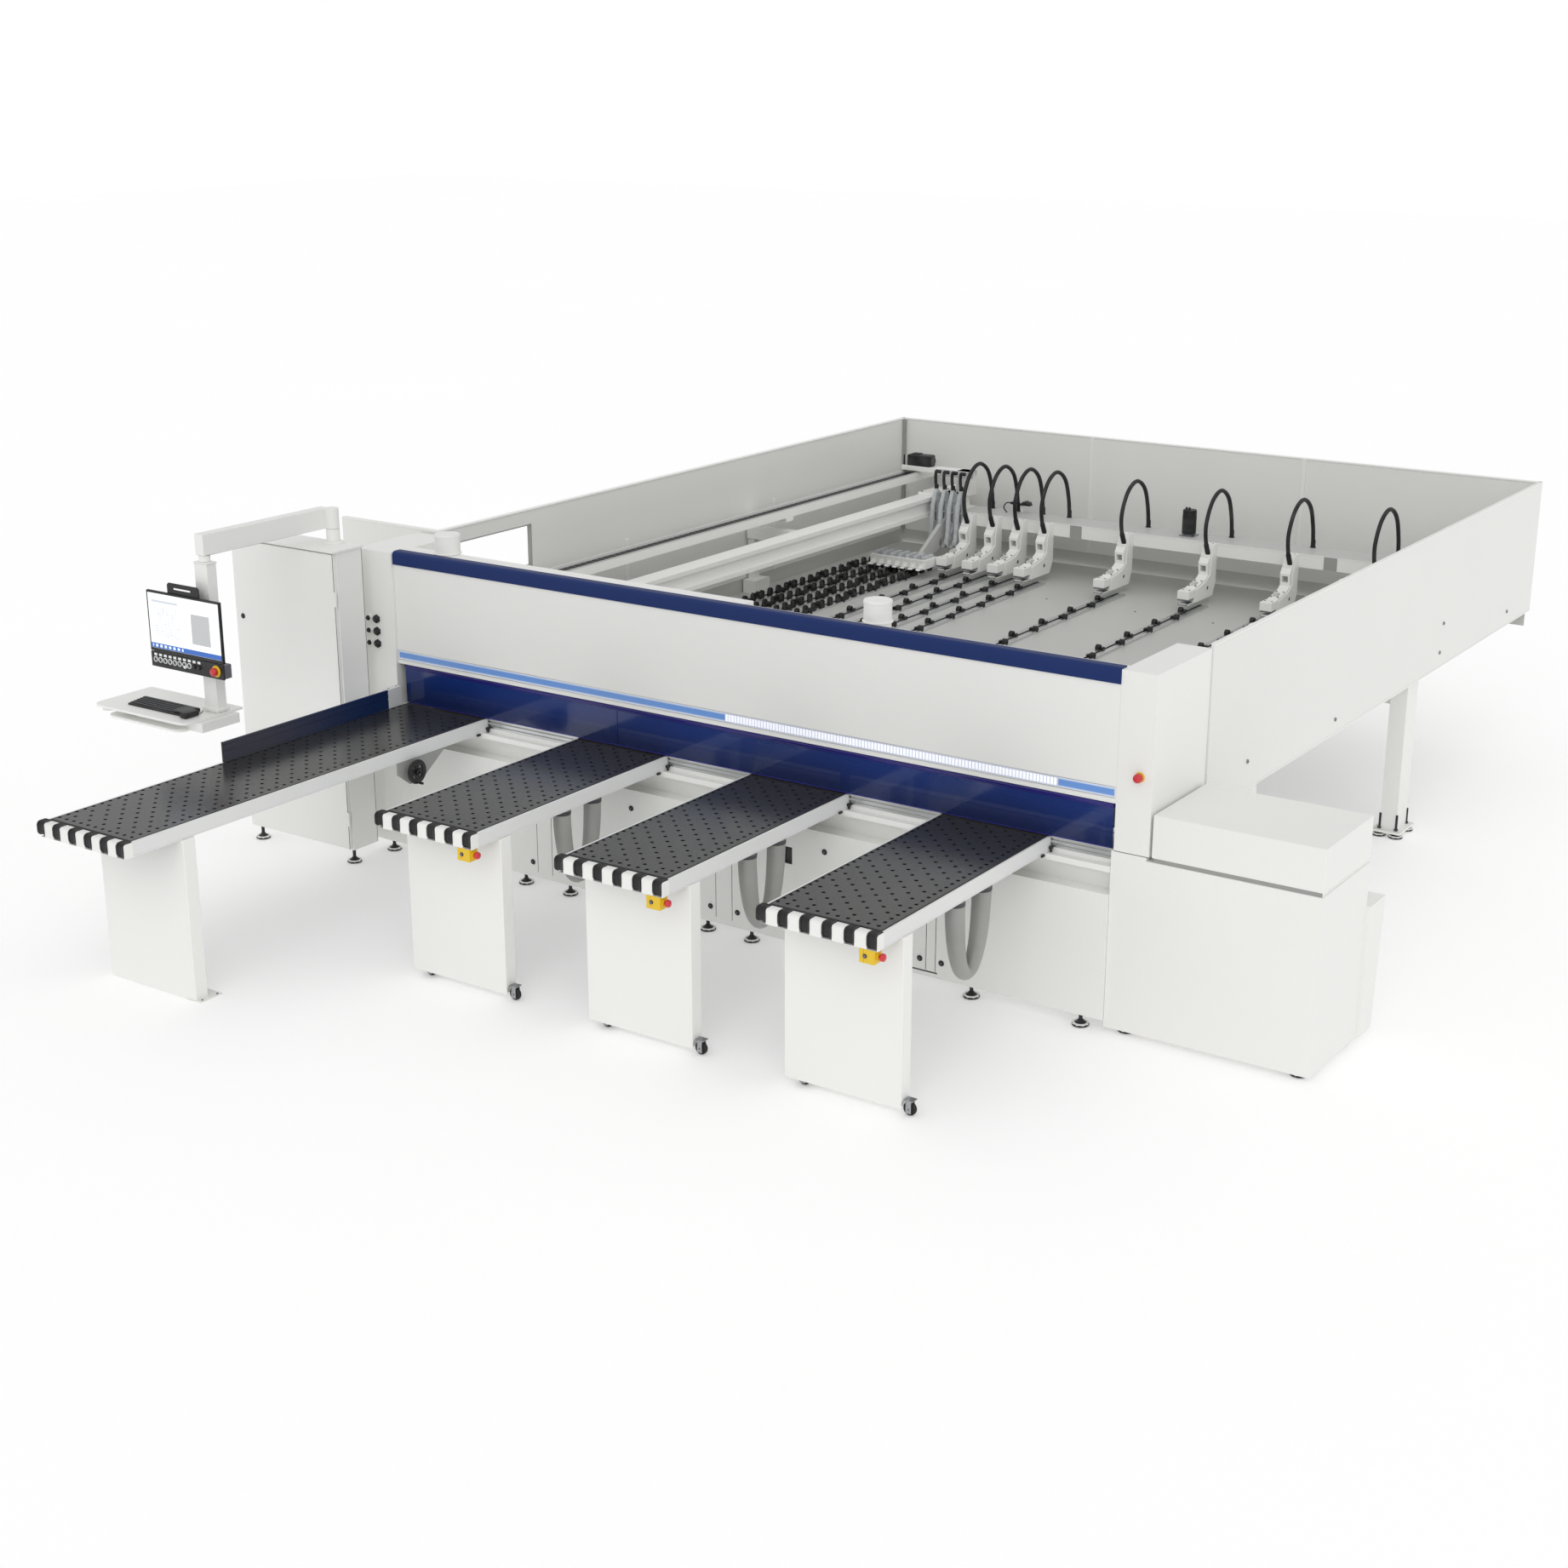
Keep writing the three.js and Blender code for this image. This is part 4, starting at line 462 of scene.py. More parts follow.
black = moulded("moulded black", "121314", 0.42)
rubber = moulded("rubber black", "151516", 0.62, 0.2, 420, 0.06)
# Near-black painted shade for the hole walls and for the air box seen through the holes.
painted_hole_shade = moulded("hole shadow black", "050506", 0.85, 0.1, 420, 0.02)
dark_grey = moulded("moulded dark grey", "3A3B3E", 0.45)
side_grey = moulded("moulded side grey", "6E6B73", 0.4)
button_grey = moulded("button grey violet", "6D6580", 0.35)
print("moulded finishes ready")

# %% [markdown]
# Bare metal: extruded aluminium carries fine drawing lines along its length, ground steel has
# its grinding lines, and the saw blades are ground in rings. A noise stretched a hundredfold
# along one axis draws such lines, and the distance from the arbor draws the rings.

# %% Drawn, ground and ringed metal
def drawn_metal(name, code, axis, rough=0.32, metal=1.0):
    finish = Finish(name)
    stretch = tuple(4.0 if name_ == axis else 420.0 for name_ in "xyz")
    lines = finish.noise(1.0, 3.0, stretch)
    cloud = finish.noise(3.0, 3.0)
    colour = finish.mix(lines * 0.6 + cloud * 0.4, tone(code, 0.86), tone(code, 1.08))
    finish.bump(lines, 0.15, 0.15)
    return finish.set(Base_Color=colour, Metallic=metal, Roughness=rough + (lines - 0.5) * 0.16)


rail_alu = drawn_metal("drawn aluminium along x", "D9DBDB", "x")
side_alu = drawn_metal("drawn aluminium along y", "DCDDDD", "y", 0.34)
post_steel = drawn_metal("ground steel upright", "A9ABAD", "z", 0.28)
bolt_steel = drawn_metal("bolt steel", "8E9194", "z", 0.3)


def fence_skin():
    """Anodised extrusion: drawn lines along y, and painted curtain reflection, bluer towards the
    curtain.
    """
    finish = Finish("fence anodised")
    lines = finish.noise(1.0, 3.0, (420.0, 4.0, 420.0))
    painted_curtain_reflection = finish.ramp(finish.along("y"), at(0, -1300, 0).y, at(0, -300, 0).y)
    colour = finish.mix(painted_curtain_reflection, tone("5C5C68"), tone("1D3A6E"))
    finish.bump(lines, 0.12, 0.12)
    return finish.set(
        Base_Color=finish.mix(lines * 0.3, colour, tone("30344A")), Metallic=0.35,
        Roughness=0.34 + (lines - 0.5) * 0.12,
    )


fence_alu = fence_skin()


def ringed(name, x, z):
    finish = Finish(name)
    middle = at(x, 0, z)
    across = finish.along("x") - middle.x
    up = finish.along("z") - middle.z
    reach = (across * across + up * up) ** 0.5
    rings = abs(((reach * 900) % 1.0) - 0.5)
    stain = finish.noise(30, 3.0)
    finish.bump(rings, 0.05, 0.3)
    return finish.set(
        Base_Color=finish.mix(rings + stain * 0.3, tone("8C9093"), tone("C5C8CA")),
        Metallic=1.0, Roughness=rings * 0.2 + 0.22,
    )


print("metals ready")

# %% [markdown]
# The air tables have a dark, faintly glossy skin that mirrors the blue curtain at a low angle.
# A dense speckle breaks the dark grey up, and a stretched cloud gives the wiped look of a
# surface that boards slide over all day.

# %% Air-table skin
def table_skin():
    finish = Finish("air table skin")
    speckle = finish.noise(900, 2.0)
    wiped = finish.ramp(finish.noise(1.1, 3.0, (1.0, 0.35, 1.0)), 0.3, 0.7)
    colour = finish.mix(speckle, tone("2C2C2D"), tone("3A3A3A"))
    finish.bump(speckle, 0.05, 0.08)
    return finish.set(
        Base_Color=finish.mix(wiped * 0.3, colour, tone("28292B")),
        Roughness=0.2 + wiped * 0.06,
    )


skin = table_skin()


# %% [markdown]
# The guard curtain is clear blue plastic. Seen from the front it reads as a deep blue, and
# painted shade darkens it towards its foot. It is thin enough to show the slots of the presser
# behind it, so its alpha stays below one; a slow noise gives it the sway of a hanging sheet in
# its gloss and alpha, and paints the shade of the folds into its colour.

# %% Curtain plastic and light strip
def curtain_plastic():
    finish = Finish("curtain plastic blue")
    sway = finish.noise(1.4, 3.0, (2.0, 1.0, 0.4))
    # Painted shade: the blue darkens towards the foot, and the slow noise paints the shade of the
    # folds.
    height = finish.ramp(finish.along("z"), 1.02, 1.22)
    blue_with_painted_shade = finish.mix(height, tone("0F2054"), tone("1B3A86"))
    return finish.set(
        Base_Color=finish.mix(sway * 0.6, blue_with_painted_shade, tone("16295F")), Roughness=0.1 + sway * 0.08,
        Alpha=0.8 + sway * 0.1, Coat_Weight=0.3,
    )


def strip_light():
    finish = Finish("strip light blue")
    z = finish.along("z")
    edge = finish.ramp(abs(z - 1.31), 0.012, 0.026)
    sway = finish.noise(6, 2.0, (0.3, 1.0, 1.0))
    colour = finish.mix(edge, tone("6D98DA"), tone("E4ECF8"))
    return finish.set(
        Base_Color=colour, Roughness=0.25 + sway * 0.1,
        Emission_Color=finish.mix(edge, tone("6D98DA"), tone("FFFFFF")), Emission_Strength=0.1,
    )


def lamp_teeth():
    finish = Finish("lamp teeth white")
    glow = finish.noise(40, 2.0)
    return finish.set(
        Base_Color=finish.mix(glow, tone("FFFFFF"), tone("E4EEFF")), Roughness=0.3 + glow * 0.1,
        Emission_Color=finish.mix(glow, tone("FFFFFF"), tone("E8ECFF")), Emission_Strength=0.35,
    )


curtain_look = curtain_plastic()
strip_look = strip_light()
teeth_look = lamp_teeth()


# %% [markdown]
# The suction hoses are grey film over a wire coil, so they show a faint ring at each turn, and
# a cloud paints lighter patches on them: painted light, as where light passes through the film.
# The grippers of the small rack are smoky clear plastic, shown by a low alpha that rises where
# the part is thick.

# %% Hose film and smoky plastic
def hose_film():
    finish = Finish("hose film grey")
    z = finish.along("z")
    turns = abs(((z * 45) % 1.0) - 0.5) * 2
    cloud = finish.noise(5, 3.0)
    # Painted light: the cloud lightens the film in patches, as light passing through it.
    colour = finish.mix(cloud, tone("8B8C88"), tone("A6A7A3"))
    finish.bump(turns, 0.8, 0.25)
    return finish.set(Base_Color=colour, Roughness=0.36 + cloud * 0.14, Coat_Weight=cloud * 0.3)


def smoky():
    finish = Finish("smoky plastic")
    cloud = finish.noise(25, 3.0)
    return finish.set(
        Base_Color=finish.mix(cloud, tone("C0C5C8"), tone("E6E9EA")), Roughness=0.15 + cloud * 0.1,
        Alpha=0.62 + cloud * 0.2,
    )


film = hose_film()
smoke = smoky()


# %% [markdown]
# The monitor shows a plain working page of its own: a pale page with a grey board on the
# right, a list on the left and a blue bar along the bottom. Boxes drawn by comparing the
# coordinates keep it crisp at any distance, with no image file.

# %% Screen page
def screen_page(left, right, low, high):
    finish = Finish("screen page")
    across = (finish.along("x") - left) / (right - left)
    up = (finish.along("z") - low) / (high - low)

    def patch(x0, x1, z0, z1):
        return (across > x0) * (across < x1) * (up > z0) * (up < z1)

    page = finish.mix(patch(0.0, 1.0, 0.0, 0.09), tone("F4F7FA"), tone("2F62B5"))
    rows = ((up * 22) % 1.0 < 0.3) * patch(0.08, 0.45, 0.2, 0.75)
    words = (finish.noise(90, 2.0, (1.0, 1.0, 0.3)) > 0.5) * rows
    page = finish.mix(words * 0.55, page, tone("5E7FA8"))
    page = finish.mix(patch(0.60, 0.86, 0.2, 0.74), page, tone("B2B4B6"))
    page = finish.mix(patch(0.05, 0.42, 0.84, 0.88), page, tone("C3C9CE"))
    icons = ((across * 16) % 1.0 < 0.55) * patch(0.02, 0.46, 0.02, 0.07)
    page = finish.mix(icons, page, tone("DCE8F8"))
    return finish.set(
        Base_Color=page, Roughness=0.18 + finish.noise(3.0) * 0.05, Emission_Color=page,
        Emission_Strength=0.35,
    )


print("finishes:", len(bpy.data.materials))
# %% [markdown]
# Four air tables stand in front of the beam. Each has a dark plate full of small holes that
# air is blown through, two pale side rails, and a striped nose: black guide shoes with white
# blocks between them. The plate's holes are cut for real, with rows of thin bars taken away
# from a sheet, because they catch the light at a low angle.

# %% Sizes of the tables
table_left = {1: 0, 2: 1364, 3: 2601, 4: 3838}
table_long = {1: 2737, 2: 1630, 3: 1630, 4: 1630}
plate_wide = 630
rail = 14
under = 917
plate_top = 1000
hole_step = 56.6
row_step = 56.0
castor_places = (72, 678)
castor_y = -1427.5
castor_height = 35
stop_edge = 626
stop_front = -1686
stop_height = 881


def body_of_table(k):
    return "machine" if k == 1 else f"table_{k}"


# %% Perforated plate
def cell_sheet(name, xs, ys, zs, columns, rows):
    """A sheet laid out in small cells, so that every hole is cut from a cell of its own."""
    lone()
    bpy.ops.mesh.primitive_grid_add(x_subdivisions=columns, y_subdivisions=rows, size=1,
                                    location=at(sum(xs) / 2, sum(ys) / 2, zs[1]))
    piece = bpy.context.object
    piece.scale = Vector((xs[1] - xs[0], ys[1] - ys[0], 1000)) / 1000
    return modified(settle(piece, name), "SOLIDIFY", thickness=(zs[1] - zs[0]) / 1000, offset=-1)


def hole_row(name, x, y, columns, step_x, rows, step_y):
    # The pins hand the painted hole shade to the walls they cut.
    pin = painted(bar(name, "z", (x, y, 995), 11, 30, 12, 0), painted_hole_shade)
    return rowed(rowed(pin, columns, x=step_x), rows, y=step_y)


def plate(k):
    x, far = table_left[k], table_long[k]
    rows = int((far - 60) / row_step)
    sheet = cell_sheet(f"table_{k}_plate", (x, x + plate_wide), (-far, -2), (990, plate_top), 11,
                       round(far / row_step))
    first = -far + 49
    cutters = [
        hole_row("first", x + 17, first, 11, hole_step, 1, 0),
        hole_row("sides", x + 17, first + row_step, 2, hole_step * 10, rows - 1, row_step),
        hole_row("odd", x + 17 + hole_step, first + row_step, 5, hole_step * 2, rows // 2,
                 row_step * 2),
        hole_row("even", x + 17 + 2 * hole_step, first + 2 * row_step, 4, hole_step * 2,
                 (rows - 1) // 2, row_step * 2),
    ]
    sheet = carved(painted(sheet, skin), *cutters)
    strips = [
        painted(block("seal", (side, side + 7), (-far + 1, -3), (996, 1000.6), 1, 1), rubber)
        for side in (x + 0.5, x + plate_wide - 7.5)
    ]
    front = painted(block("front seal", (x + 2, x + plate_wide - 2), (-far - 3, -far + 9),
                          (994, 1000.8), 1.2, 1), rubber)
    return joined(f"table_{k}_plate", [sheet, *strips, front])


# %% [markdown]
# The striped nose is one white bar with a rounded top edge, notched where the black shoes
# sit. A shoe is a rounded block with a raised belt in its middle, like a slim guide wheel.

# %% Nose bar and guide shoes
def arc(y, z, radius, start, end, steps=6):
    turns = [math.radians(start + (end - start) * i / steps) for i in range(steps + 1)]
    return [(y + radius * math.cos(t), z + radius * math.sin(t)) for t in turns]


def shoe_outline(far, grow):
    front = -far - 61 - grow
    return [
        (-far - 1, 921 - grow), (-far - 1, plate_top),
        *arc(front + 24, 976 + grow / 2, 24, 90, 180),
        *arc(front + 24, 945 - grow, 24, 180, 270),
    ]


shoe_first = -37
shoe_step = 124
shoe_wide = 55


def nose(k):
    x, far = table_left[k], table_long[k]
    outline = [(-far, under), (-far, 996), *arc(-far - 42, 982, 14, 90, 180),
               (-far - 56, under)]
    bar_ = pushed("nose", "x", outline, x - rail, x + plate_wide + rail, 1.5)
    first = x + shoe_first
    notch = block("notch", (first - 1, first + shoe_wide + 1), (-far - 70, -far - 0.5),
                  (918.6, 1010), 0)
    return painted(carved(bar_, rowed(notch, 6, x=shoe_step)), white)


def shoes(k):
    x, far = table_left[k] + shoe_first, table_long[k]
    cheeks = [
        painted(pushed("cheek", "x", shoe_outline(far, 0), x + a, x + a + 11, 1.5), black)
        for a in (0, shoe_wide - 11)
    ]
    belt = painted(pushed("belt", "x", shoe_outline(far, -2.5), x + 11, x + shoe_wide - 11, 1),
                   rubber)
    hub = painted(bar("hub", "x", (x + shoe_wide / 2, -far - 34, 960), 11, shoe_wide + 1, 16, 1),
                  dark_grey)
    return rowed(joined("shoes", [*cheeks, belt, hub]), 6, x=shoe_step)


# %% [markdown]
# Under the plate runs a shallow air box between the two side rails. The rails are extrusions:
# a rounded top edge and a fine shadow line near the bottom.

# %% Side rails and air box
def side_rails(k):
    x, far = table_left[k], table_long[k]
    pieces = []
    for side, outer in ((x - rail, -1), (x + plate_wide + 0.6, 1)):
        width = rail - 0.6
        beam = block("rail", (side, side + width), (-far + 0.4, -2), (under, plate_top), 3, 3)
        face = side if outer < 0 else side + width
        line = block("line", (face - 1.2, face + 1.2), (-far - 1, 0), (925, 927.5), 0)
        pieces.append(carved(beam, line))
    return [painted(piece, side_white) for piece in pieces]


def air_box(k):
    x, far = table_left[k], table_long[k]
    box_ = block("air box", (x + 1, x + plate_wide - 1), (-far, -2.5), (921, 988), 2)
    activate(box_)
    bpy.ops.object.mode_set(mode="EDIT")
    bpy.ops.mesh.select_all(action="DESELECT")
    bpy.ops.object.mode_set(mode="OBJECT")
    for face in box_.data.polygons:
        face.select = face.normal.z < -0.9 and face.area > 0.3
    bpy.ops.object.mode_set(mode="EDIT")
    bpy.ops.mesh.inset(thickness=0.04, depth=0)
    bpy.ops.mesh.extrude_region_move(TRANSFORM_OT_translate={"value": (0, 0, 0.02)})
    bpy.ops.object.mode_set(mode="OBJECT")
    # The air box is painted near-black: the painted shade seen through the holes.
    return painted(box_, painted_hole_shade)


side_white = coated("rail enamel", "E6E7E6", 0.34, 0.03, 0.04, 0.15)

# %% [markdown]
# A table stands on one broad folded-sheet leg near its front. Tables that roll have two small
# castors let into the foot of that leg; the long table stands on a bolted sole instead.

# %% Legs with castor forks or a sole
def screw(x, y, z, axis="z", radius=6, length=5):
    head = bar("screw", axis, (x, y, z), radius, length, 14, 0.8)
    socket = bar("socket", axis, (x, y, z), radius * 0.5, length * 3, 6, 0)
    return painted(carved(head, socket), bolt_steel)


def leg(k):
    x = table_left[k]
    back = -2335 if k == 1 else -1385
    low = 0.3 if k == 1 else 34
    panel = block("leg", (x - 22, x + 652), (back - 85, back), (low, 916.5), 5, 3)
    cutters = []
    if k > 1:
        cutters += [block("mouth", (x + c - 44, x + c + 44), (back - 79, back + 5), (-9, 79), 0)
                    for c in castor_places]
    panel = painted(carved(panel, *cutters), white)
    if k == 1:
        sole = block("sole", (x + 574, x + 687), (back - 85, back + 70), (0, 8), 1.5)
        bolts = [screw(x + 672, back + dy, 10) for dy in (-60, 45)]
        return [panel, painted(sole, white), *bolts]
    forks = [castor_fork(x + c, back - 42.5) for c in castor_places]
    return [panel, *[piece for fork in forks for piece in fork]]


def castor_fork(x, y):
    cheek = painted(block("cheek", (x - 15, x + 15), (y + 15, y + 20), (14, 80), 1.5), post_steel)
    twin = painted(block("cheek", (x - 15, x + 15), (y - 20, y - 15), (14, 80), 1.5), post_steel)
    top = painted(block("crown", (x - 26, x + 26), (y - 24, y + 24), (78.5, 84), 1.5), post_steel)
    pin = painted(bar("pin", "y", (x, y, castor_height), 5.5, 46, 14, 0.6), bolt_steel)
    return [cheek, twin, top, pin]


def castor(k, i):
    middle = (table_left[k] + castor_places[i], castor_y, castor_height)
    outline = [(7.5, -12), (22, -12), (23, -10), (30, -11), (34, -8), (35, -3), (35, 3),
               (34, 8), (30, 11), (23, 10), (22, 12), (7.5, 12), (7.5, -12)]
    wheel = painted(turned("tyre", "y", middle, outline, 32), rubber)
    hub = painted(bar("hub", "y", middle, 14, 25, 20, 1), side_grey)
    bore = bar("bore", "y", middle, 6.5, 40, 20, 0)
    wheel = joined("castor", [wheel, carved(hub, bore)])
    wheel.name = f"table_{k}_wheel_{i + 1}"
    return fitted(wheel, f"table_{k}_castor_{i + 1}", f"table_{k}_castor_{i + 1}")


# %% [markdown]
# A yellow box under the right front corner carries the table's emergency stop: a red mushroom
# button pointing sideways and a small grey key button on the front.

# %% Stop box and mushroom button
def stop_box(k):
    right, front = table_left[k] + stop_edge, stop_front
    shell = block("stop box", (right - 85, right), (front, front + 67), (846, 916.5), 4, 3)
    seam = block("seam", (right - 60, right - 58.6), (front - 5, front + 80), (830, 930), 0)
    shell = carved(painted(shell, stop_yellow), seam)
    ring = painted(bar("ring", "y", (right - 52, front - 1.5, 883), 11, 4, 20, 0.8), black)
    cap = painted(bar("cap", "y", (right - 52, front - 4, 883), 8, 5, 20, 1.2), button_grey)
    collar = bar("collar", "x", (right + 4, front + 34, stop_height), 19, 8.5, 24, 1)
    return [shell, ring, cap, painted(collar, stop_yellow)]


def mushroom(name, axis, middle, radius, length, look, sign=1):
    outline = [(0.01, 0), (radius * 0.45, 0), (radius * 0.45, 8), (radius * 0.9, 9),
               (radius, 12), (radius, length * 0.55), (radius * 0.93, length * 0.85),
               (radius * 0.6, length), (0.01, length)]
    outline = [(r, h * sign) for r, h in outline]
    return painted(turned(name, axis, middle, outline, 28), look)


def table_button(k):
    middle = (table_left[k] + stop_edge + 8, stop_front + 34, stop_height)
    head = mushroom(f"table_{k}_button", "x", middle, 20, 30, stop_red)
    return fitted(head, f"table_{k}_stop", f"table_{k}_stop")


# %% [markdown]
# The air hose under a rolling table hangs in a long loop that is wide at the top and closes to
# a round bottom. A curve with its own radius at each point gives that taper in one piece.

# %% Hanging air hose
def air_hose(k):
    x = table_left[k] + 598
    points = [(x, -905, 915), (x, -904, 830), (x, -893, 710), (x, -866, 590), (x, -820, 508),
              (x, -772, 490), (x, -725, 508), (x, -679, 590), (x, -652, 710), (x, -641, 830),
              (x, -640, 915)]
    radii = [50, 50, 48, 44, 40, 38, 40, 44, 48, 50, 50]
    tube = painted(hose("air hose", points, radii, 24), film)
    cuffs = [painted(bar("cuff", "z", (x, y, 903), 52, 22, 32, 2), dark_grey)
             for y in (-905, -640)]
    whole = joined(f"table_{k}_air_hose", [tube, *cuffs])
    return fitted(whole, f"table_{k}", f"table_{k}_hose")


# %% Tables one by one
def clamp_lever(k):
    x = table_left[k] + 640
    rod = bar("clamp rod", "z", (x + 12, -16, 918), 6, 60, 14, 1)
    head = block("clamp head", (x + 3, x + 22), (-29, -4), (934, 950), 4, 2)
    knob = turned("clamp knob", "z", (x + 12, -16, 884), [
        (0.01, 0), (9, 0), (11, 3), (11, 10), (8, 14), (0.01, 14)], 12)
    catch = block("clamp catch", (x + 4, x + 16), (-114, -84), (912, 926), 3, 2)
    return [painted(piece, black) for piece in (rod, head, knob, catch)]


for k in table_left:
    body = body_of_table(k)
    top = joined(f"table_{k}_top_piece", [plate(k), shoes(k)])
    fitted(top, body, f"table_{k}_top")
    pieces = [nose(k), *side_rails(k), air_box(k), *leg(k), *clamp_lever(k)]
    if k == 1:
        long_table = pieces
        continue
    fitted(joined(f"table_{k}_stand", [*pieces, *stop_box(k)]), body, f"table_{k}_frame")
    castor(k, 0)
    castor(k, 1)
    table_button(k)
    air_hose(k)
print("tables:", len(made), "pieces")

# %% [markdown]
# The long table carries a handwheel on a grey gusset: a ring rim, two broad spokes and a
# small crank handle. Turned rings and blocks make it, with its handle at the low side as seen.

# %% Handwheel and gusset
crank_y, crank_z = -680, 846


def gusset():
    plate_ = pushed("gusset", "x", [(-800, 916), (-800, 845), (-698, 767), (-560, 797),
                                    (-390, 916)], 637, 643.6, 1)
    pin = bar("wheel pin", "x", (655, crank_y, crank_z), 6.4, 26, 16, 0.6)
    return [painted(plate_, mid_grey), painted(pin, bolt_steel)]


def handwheel():
    x = 683
    rim = turned("rim", "x", (x, crank_y, crank_z), [
        (46, -6), (49, -9), (69, -9), (73, -5), (73, 5), (69, 9), (49, 9), (46, 6),
        (46, -6)], 40)
    spokes = [block("spoke", (x - 4, x + 4), (crank_y - wide, crank_y + wide),
                    (crank_z - high, crank_z + high), 2) for wide, high in ((58, 18), (17, 58))]
    hub = turned("hub", "x", (x, crank_y, crank_z), [
        (7.4, -14), (16, -14), (18, -10), (18, 14), (15, 20), (7.4, 20), (7.4, -14)], 28)
    post = bar("crank post", "x", (x + 12, crank_y, crank_z - 65), 4, 14, 14, 0.5)
    grip = turned("crank", "x", (x + 16, crank_y, crank_z - 65), [
        (0.01, 0), (7, 0), (8.5, 6), (7, 20), (8, 26), (0.01, 27)], 20)
    pieces = [painted(piece, black) for piece in (rim, *spokes, hub, post, grip)]
    return joined("handwheel_piece", pieces)


fitted(joined("table_1_stand", [*long_table, *gusset()]), "machine", "table_1_frame")
fitted(handwheel(), "handwheel", "handwheel")


# %% [markdown]
# The fence is an anodised extrusion with two long grooves in its face, so stops can be
# clamped on it. Its outline with the grooves is drawn once and pushed along the table.

# %% Fence
def fence_piece():
    grooves = []
    for z in (1062, 1098):
        grooves += [(0, z - 4), (-4, z - 4), (-4, z + 4), (0, z + 4)]
    outline = [(0, 1000.3), *grooves, (0, 1120), (-9, 1120.3), (-9, 1021), (-13, 1019),
               (-13, 1000.3)]
    beam = painted(pushed("fence beam", "y", outline, -1524, -186, 0.6), fence_alu)
    post = painted(block("fence post", (-46, 0), (-186, -66), (1000.5, 1121), 2.5), side_white)
    cap = painted(block("fence cap", (-14, 0.0), (-1526, -1523), (1000.5, 1120.6), 0.8), black)
    bolts = [screw(-23, y, 1121.6, radius=7, length=2) for y in (-160, -92)]
    return joined("fence_piece", [beam, post, cap, *bolts])


fitted(fence_piece(), "machine", "fence")
# %% [markdown]
# The bed under the beam is a long aluminium extrusion: flat on top, with a saw slot, and with
# two T-grooves along its front face where the tables hang. The grooves are part of the drawn
# outline and the slot is cut through it.

# %% Bed
def bed_piece():
    outline = [(0, 1000), (0, 986), (9, 986), (9, 978), (0, 978), (0, 962), (9, 962), (9, 954),
               (0, 954), (0, 940), (650, 940), (650, 1000)]
    beam = pushed("bed", "x", outline, -40, 4841.7, 1.2)
    slot = block("slot", (50, 4752), (213, 227), (900, 1040), 0)
    beam = painted(carved(beam, slot), rail_alu)
    wear = painted(block("slot edge", (50, 4752), (228, 231), (999.2, 1000.5), 0.3), post_steel)
    bolts = rowed(screw(120, 420, 1000, radius=8, length=1.4), 12, x=400)
    return joined("bed_piece", [beam, wear, bolts])


fitted(bed_piece(), "machine", "bed")

# %% [markdown]
# The base behind the tables, the towers and the beam are folded sheet. Their CAD solids have
# the right shapes already, so they keep them with rounded edges and paint, and the seams,
# locks, feet and glands are modelled on top.

# %% Paint the sheet-metal solids
for node, look, edge in (
    ("base_frame", white, 3), ("left_tower", white, 4), ("beam_cover", white, 3),
    ("beam_trim", band_blue, 2), ("right_tower", white, 5), ("blade_box", white, 5),
    ("blade_box_lid", white, 6), ("left_guard", soft_white, 2), ("right_guard", soft_white, 2),
    ("rear_guard", soft_white, 2), ("rear_frame", white, 3), ("cabinet_body", white, 4),
    ("cabinet_door", white, 4), ("swing_arm", white, 5), ("saw_carriage", light_grey, 4),
    ("saw_lift", mid_grey, 3), ("light_strip", strip_look, 0),
):
    dressed(node, look, edge)
print("dressed", len(made))


# %% [markdown]
# Levelling feet are all alike: a black rubber disc, a threaded stud and a lock nut. One foot
# is turned on the lathe helper and copied to every place.

# %% Levelling feet
def foot(x, y, top, stud=10.6):
    pad = turned("pad", "z", (x, y, 0), [
        (0.01, 0), (44, 0), (46, 3), (46, 8), (30, 17), (17, 26), (15, 32), (0.01, 32)], 28)
    nut = painted(bar("nut", "z", (x, y, top - 8), stud + 5, 11, 6, 1), dark_grey)
    rod = painted(bar("stud", "z", (x, y, top / 2 + 8), stud, top - 20, 16, 0.5), black)
    return [painted(pad, black), nut, rod]


feet = []
for x in (90, 914, 1262, 2290, 2600, 4044, 4700):
    for y in (-15, 565):
        feet += foot(x, y, 75)
for y in (-15, 455):
    feet += foot(-185.3, y, 75)
for x in (4933, 5880):
    for y in (50, 495):
        feet += foot(x, y, 34)
fitted(joined("front_feet", feet), "machine")
feet = []
for x in (-1045, -230):
    feet += foot(x, -327.7, 92)
fitted(joined("cabinet_feet", feet), "machine")
feet = []
for x in (-150, -40, 4905, 5015):
    for y in (1205, 1395, 3800, 3990):
        feet += foot(x, y, 60, 9)
        feet.append(painted(bar("long stud", "z", (x, y, 96), 8, 108, 14, 1), black))
fitted(joined("rear_feet", feet), "machine")


# %% [markdown]
# The doors of the base and of the cabinet have round black locks with a slot for a key, and
# dark seams round them. The black pocket low in the base is a cable hatch, and a dark strip
# just above the floor is a painted shadow.

# %% Locks, seams and hatch
def turned_front(name, x, y, z, outline, look, steps=24):
    """A turned piece whose height comes forward out of a front face."""
    return painted(turned(name, "y", (x, y, z), [(r, -h) for r, h in outline], steps), look)


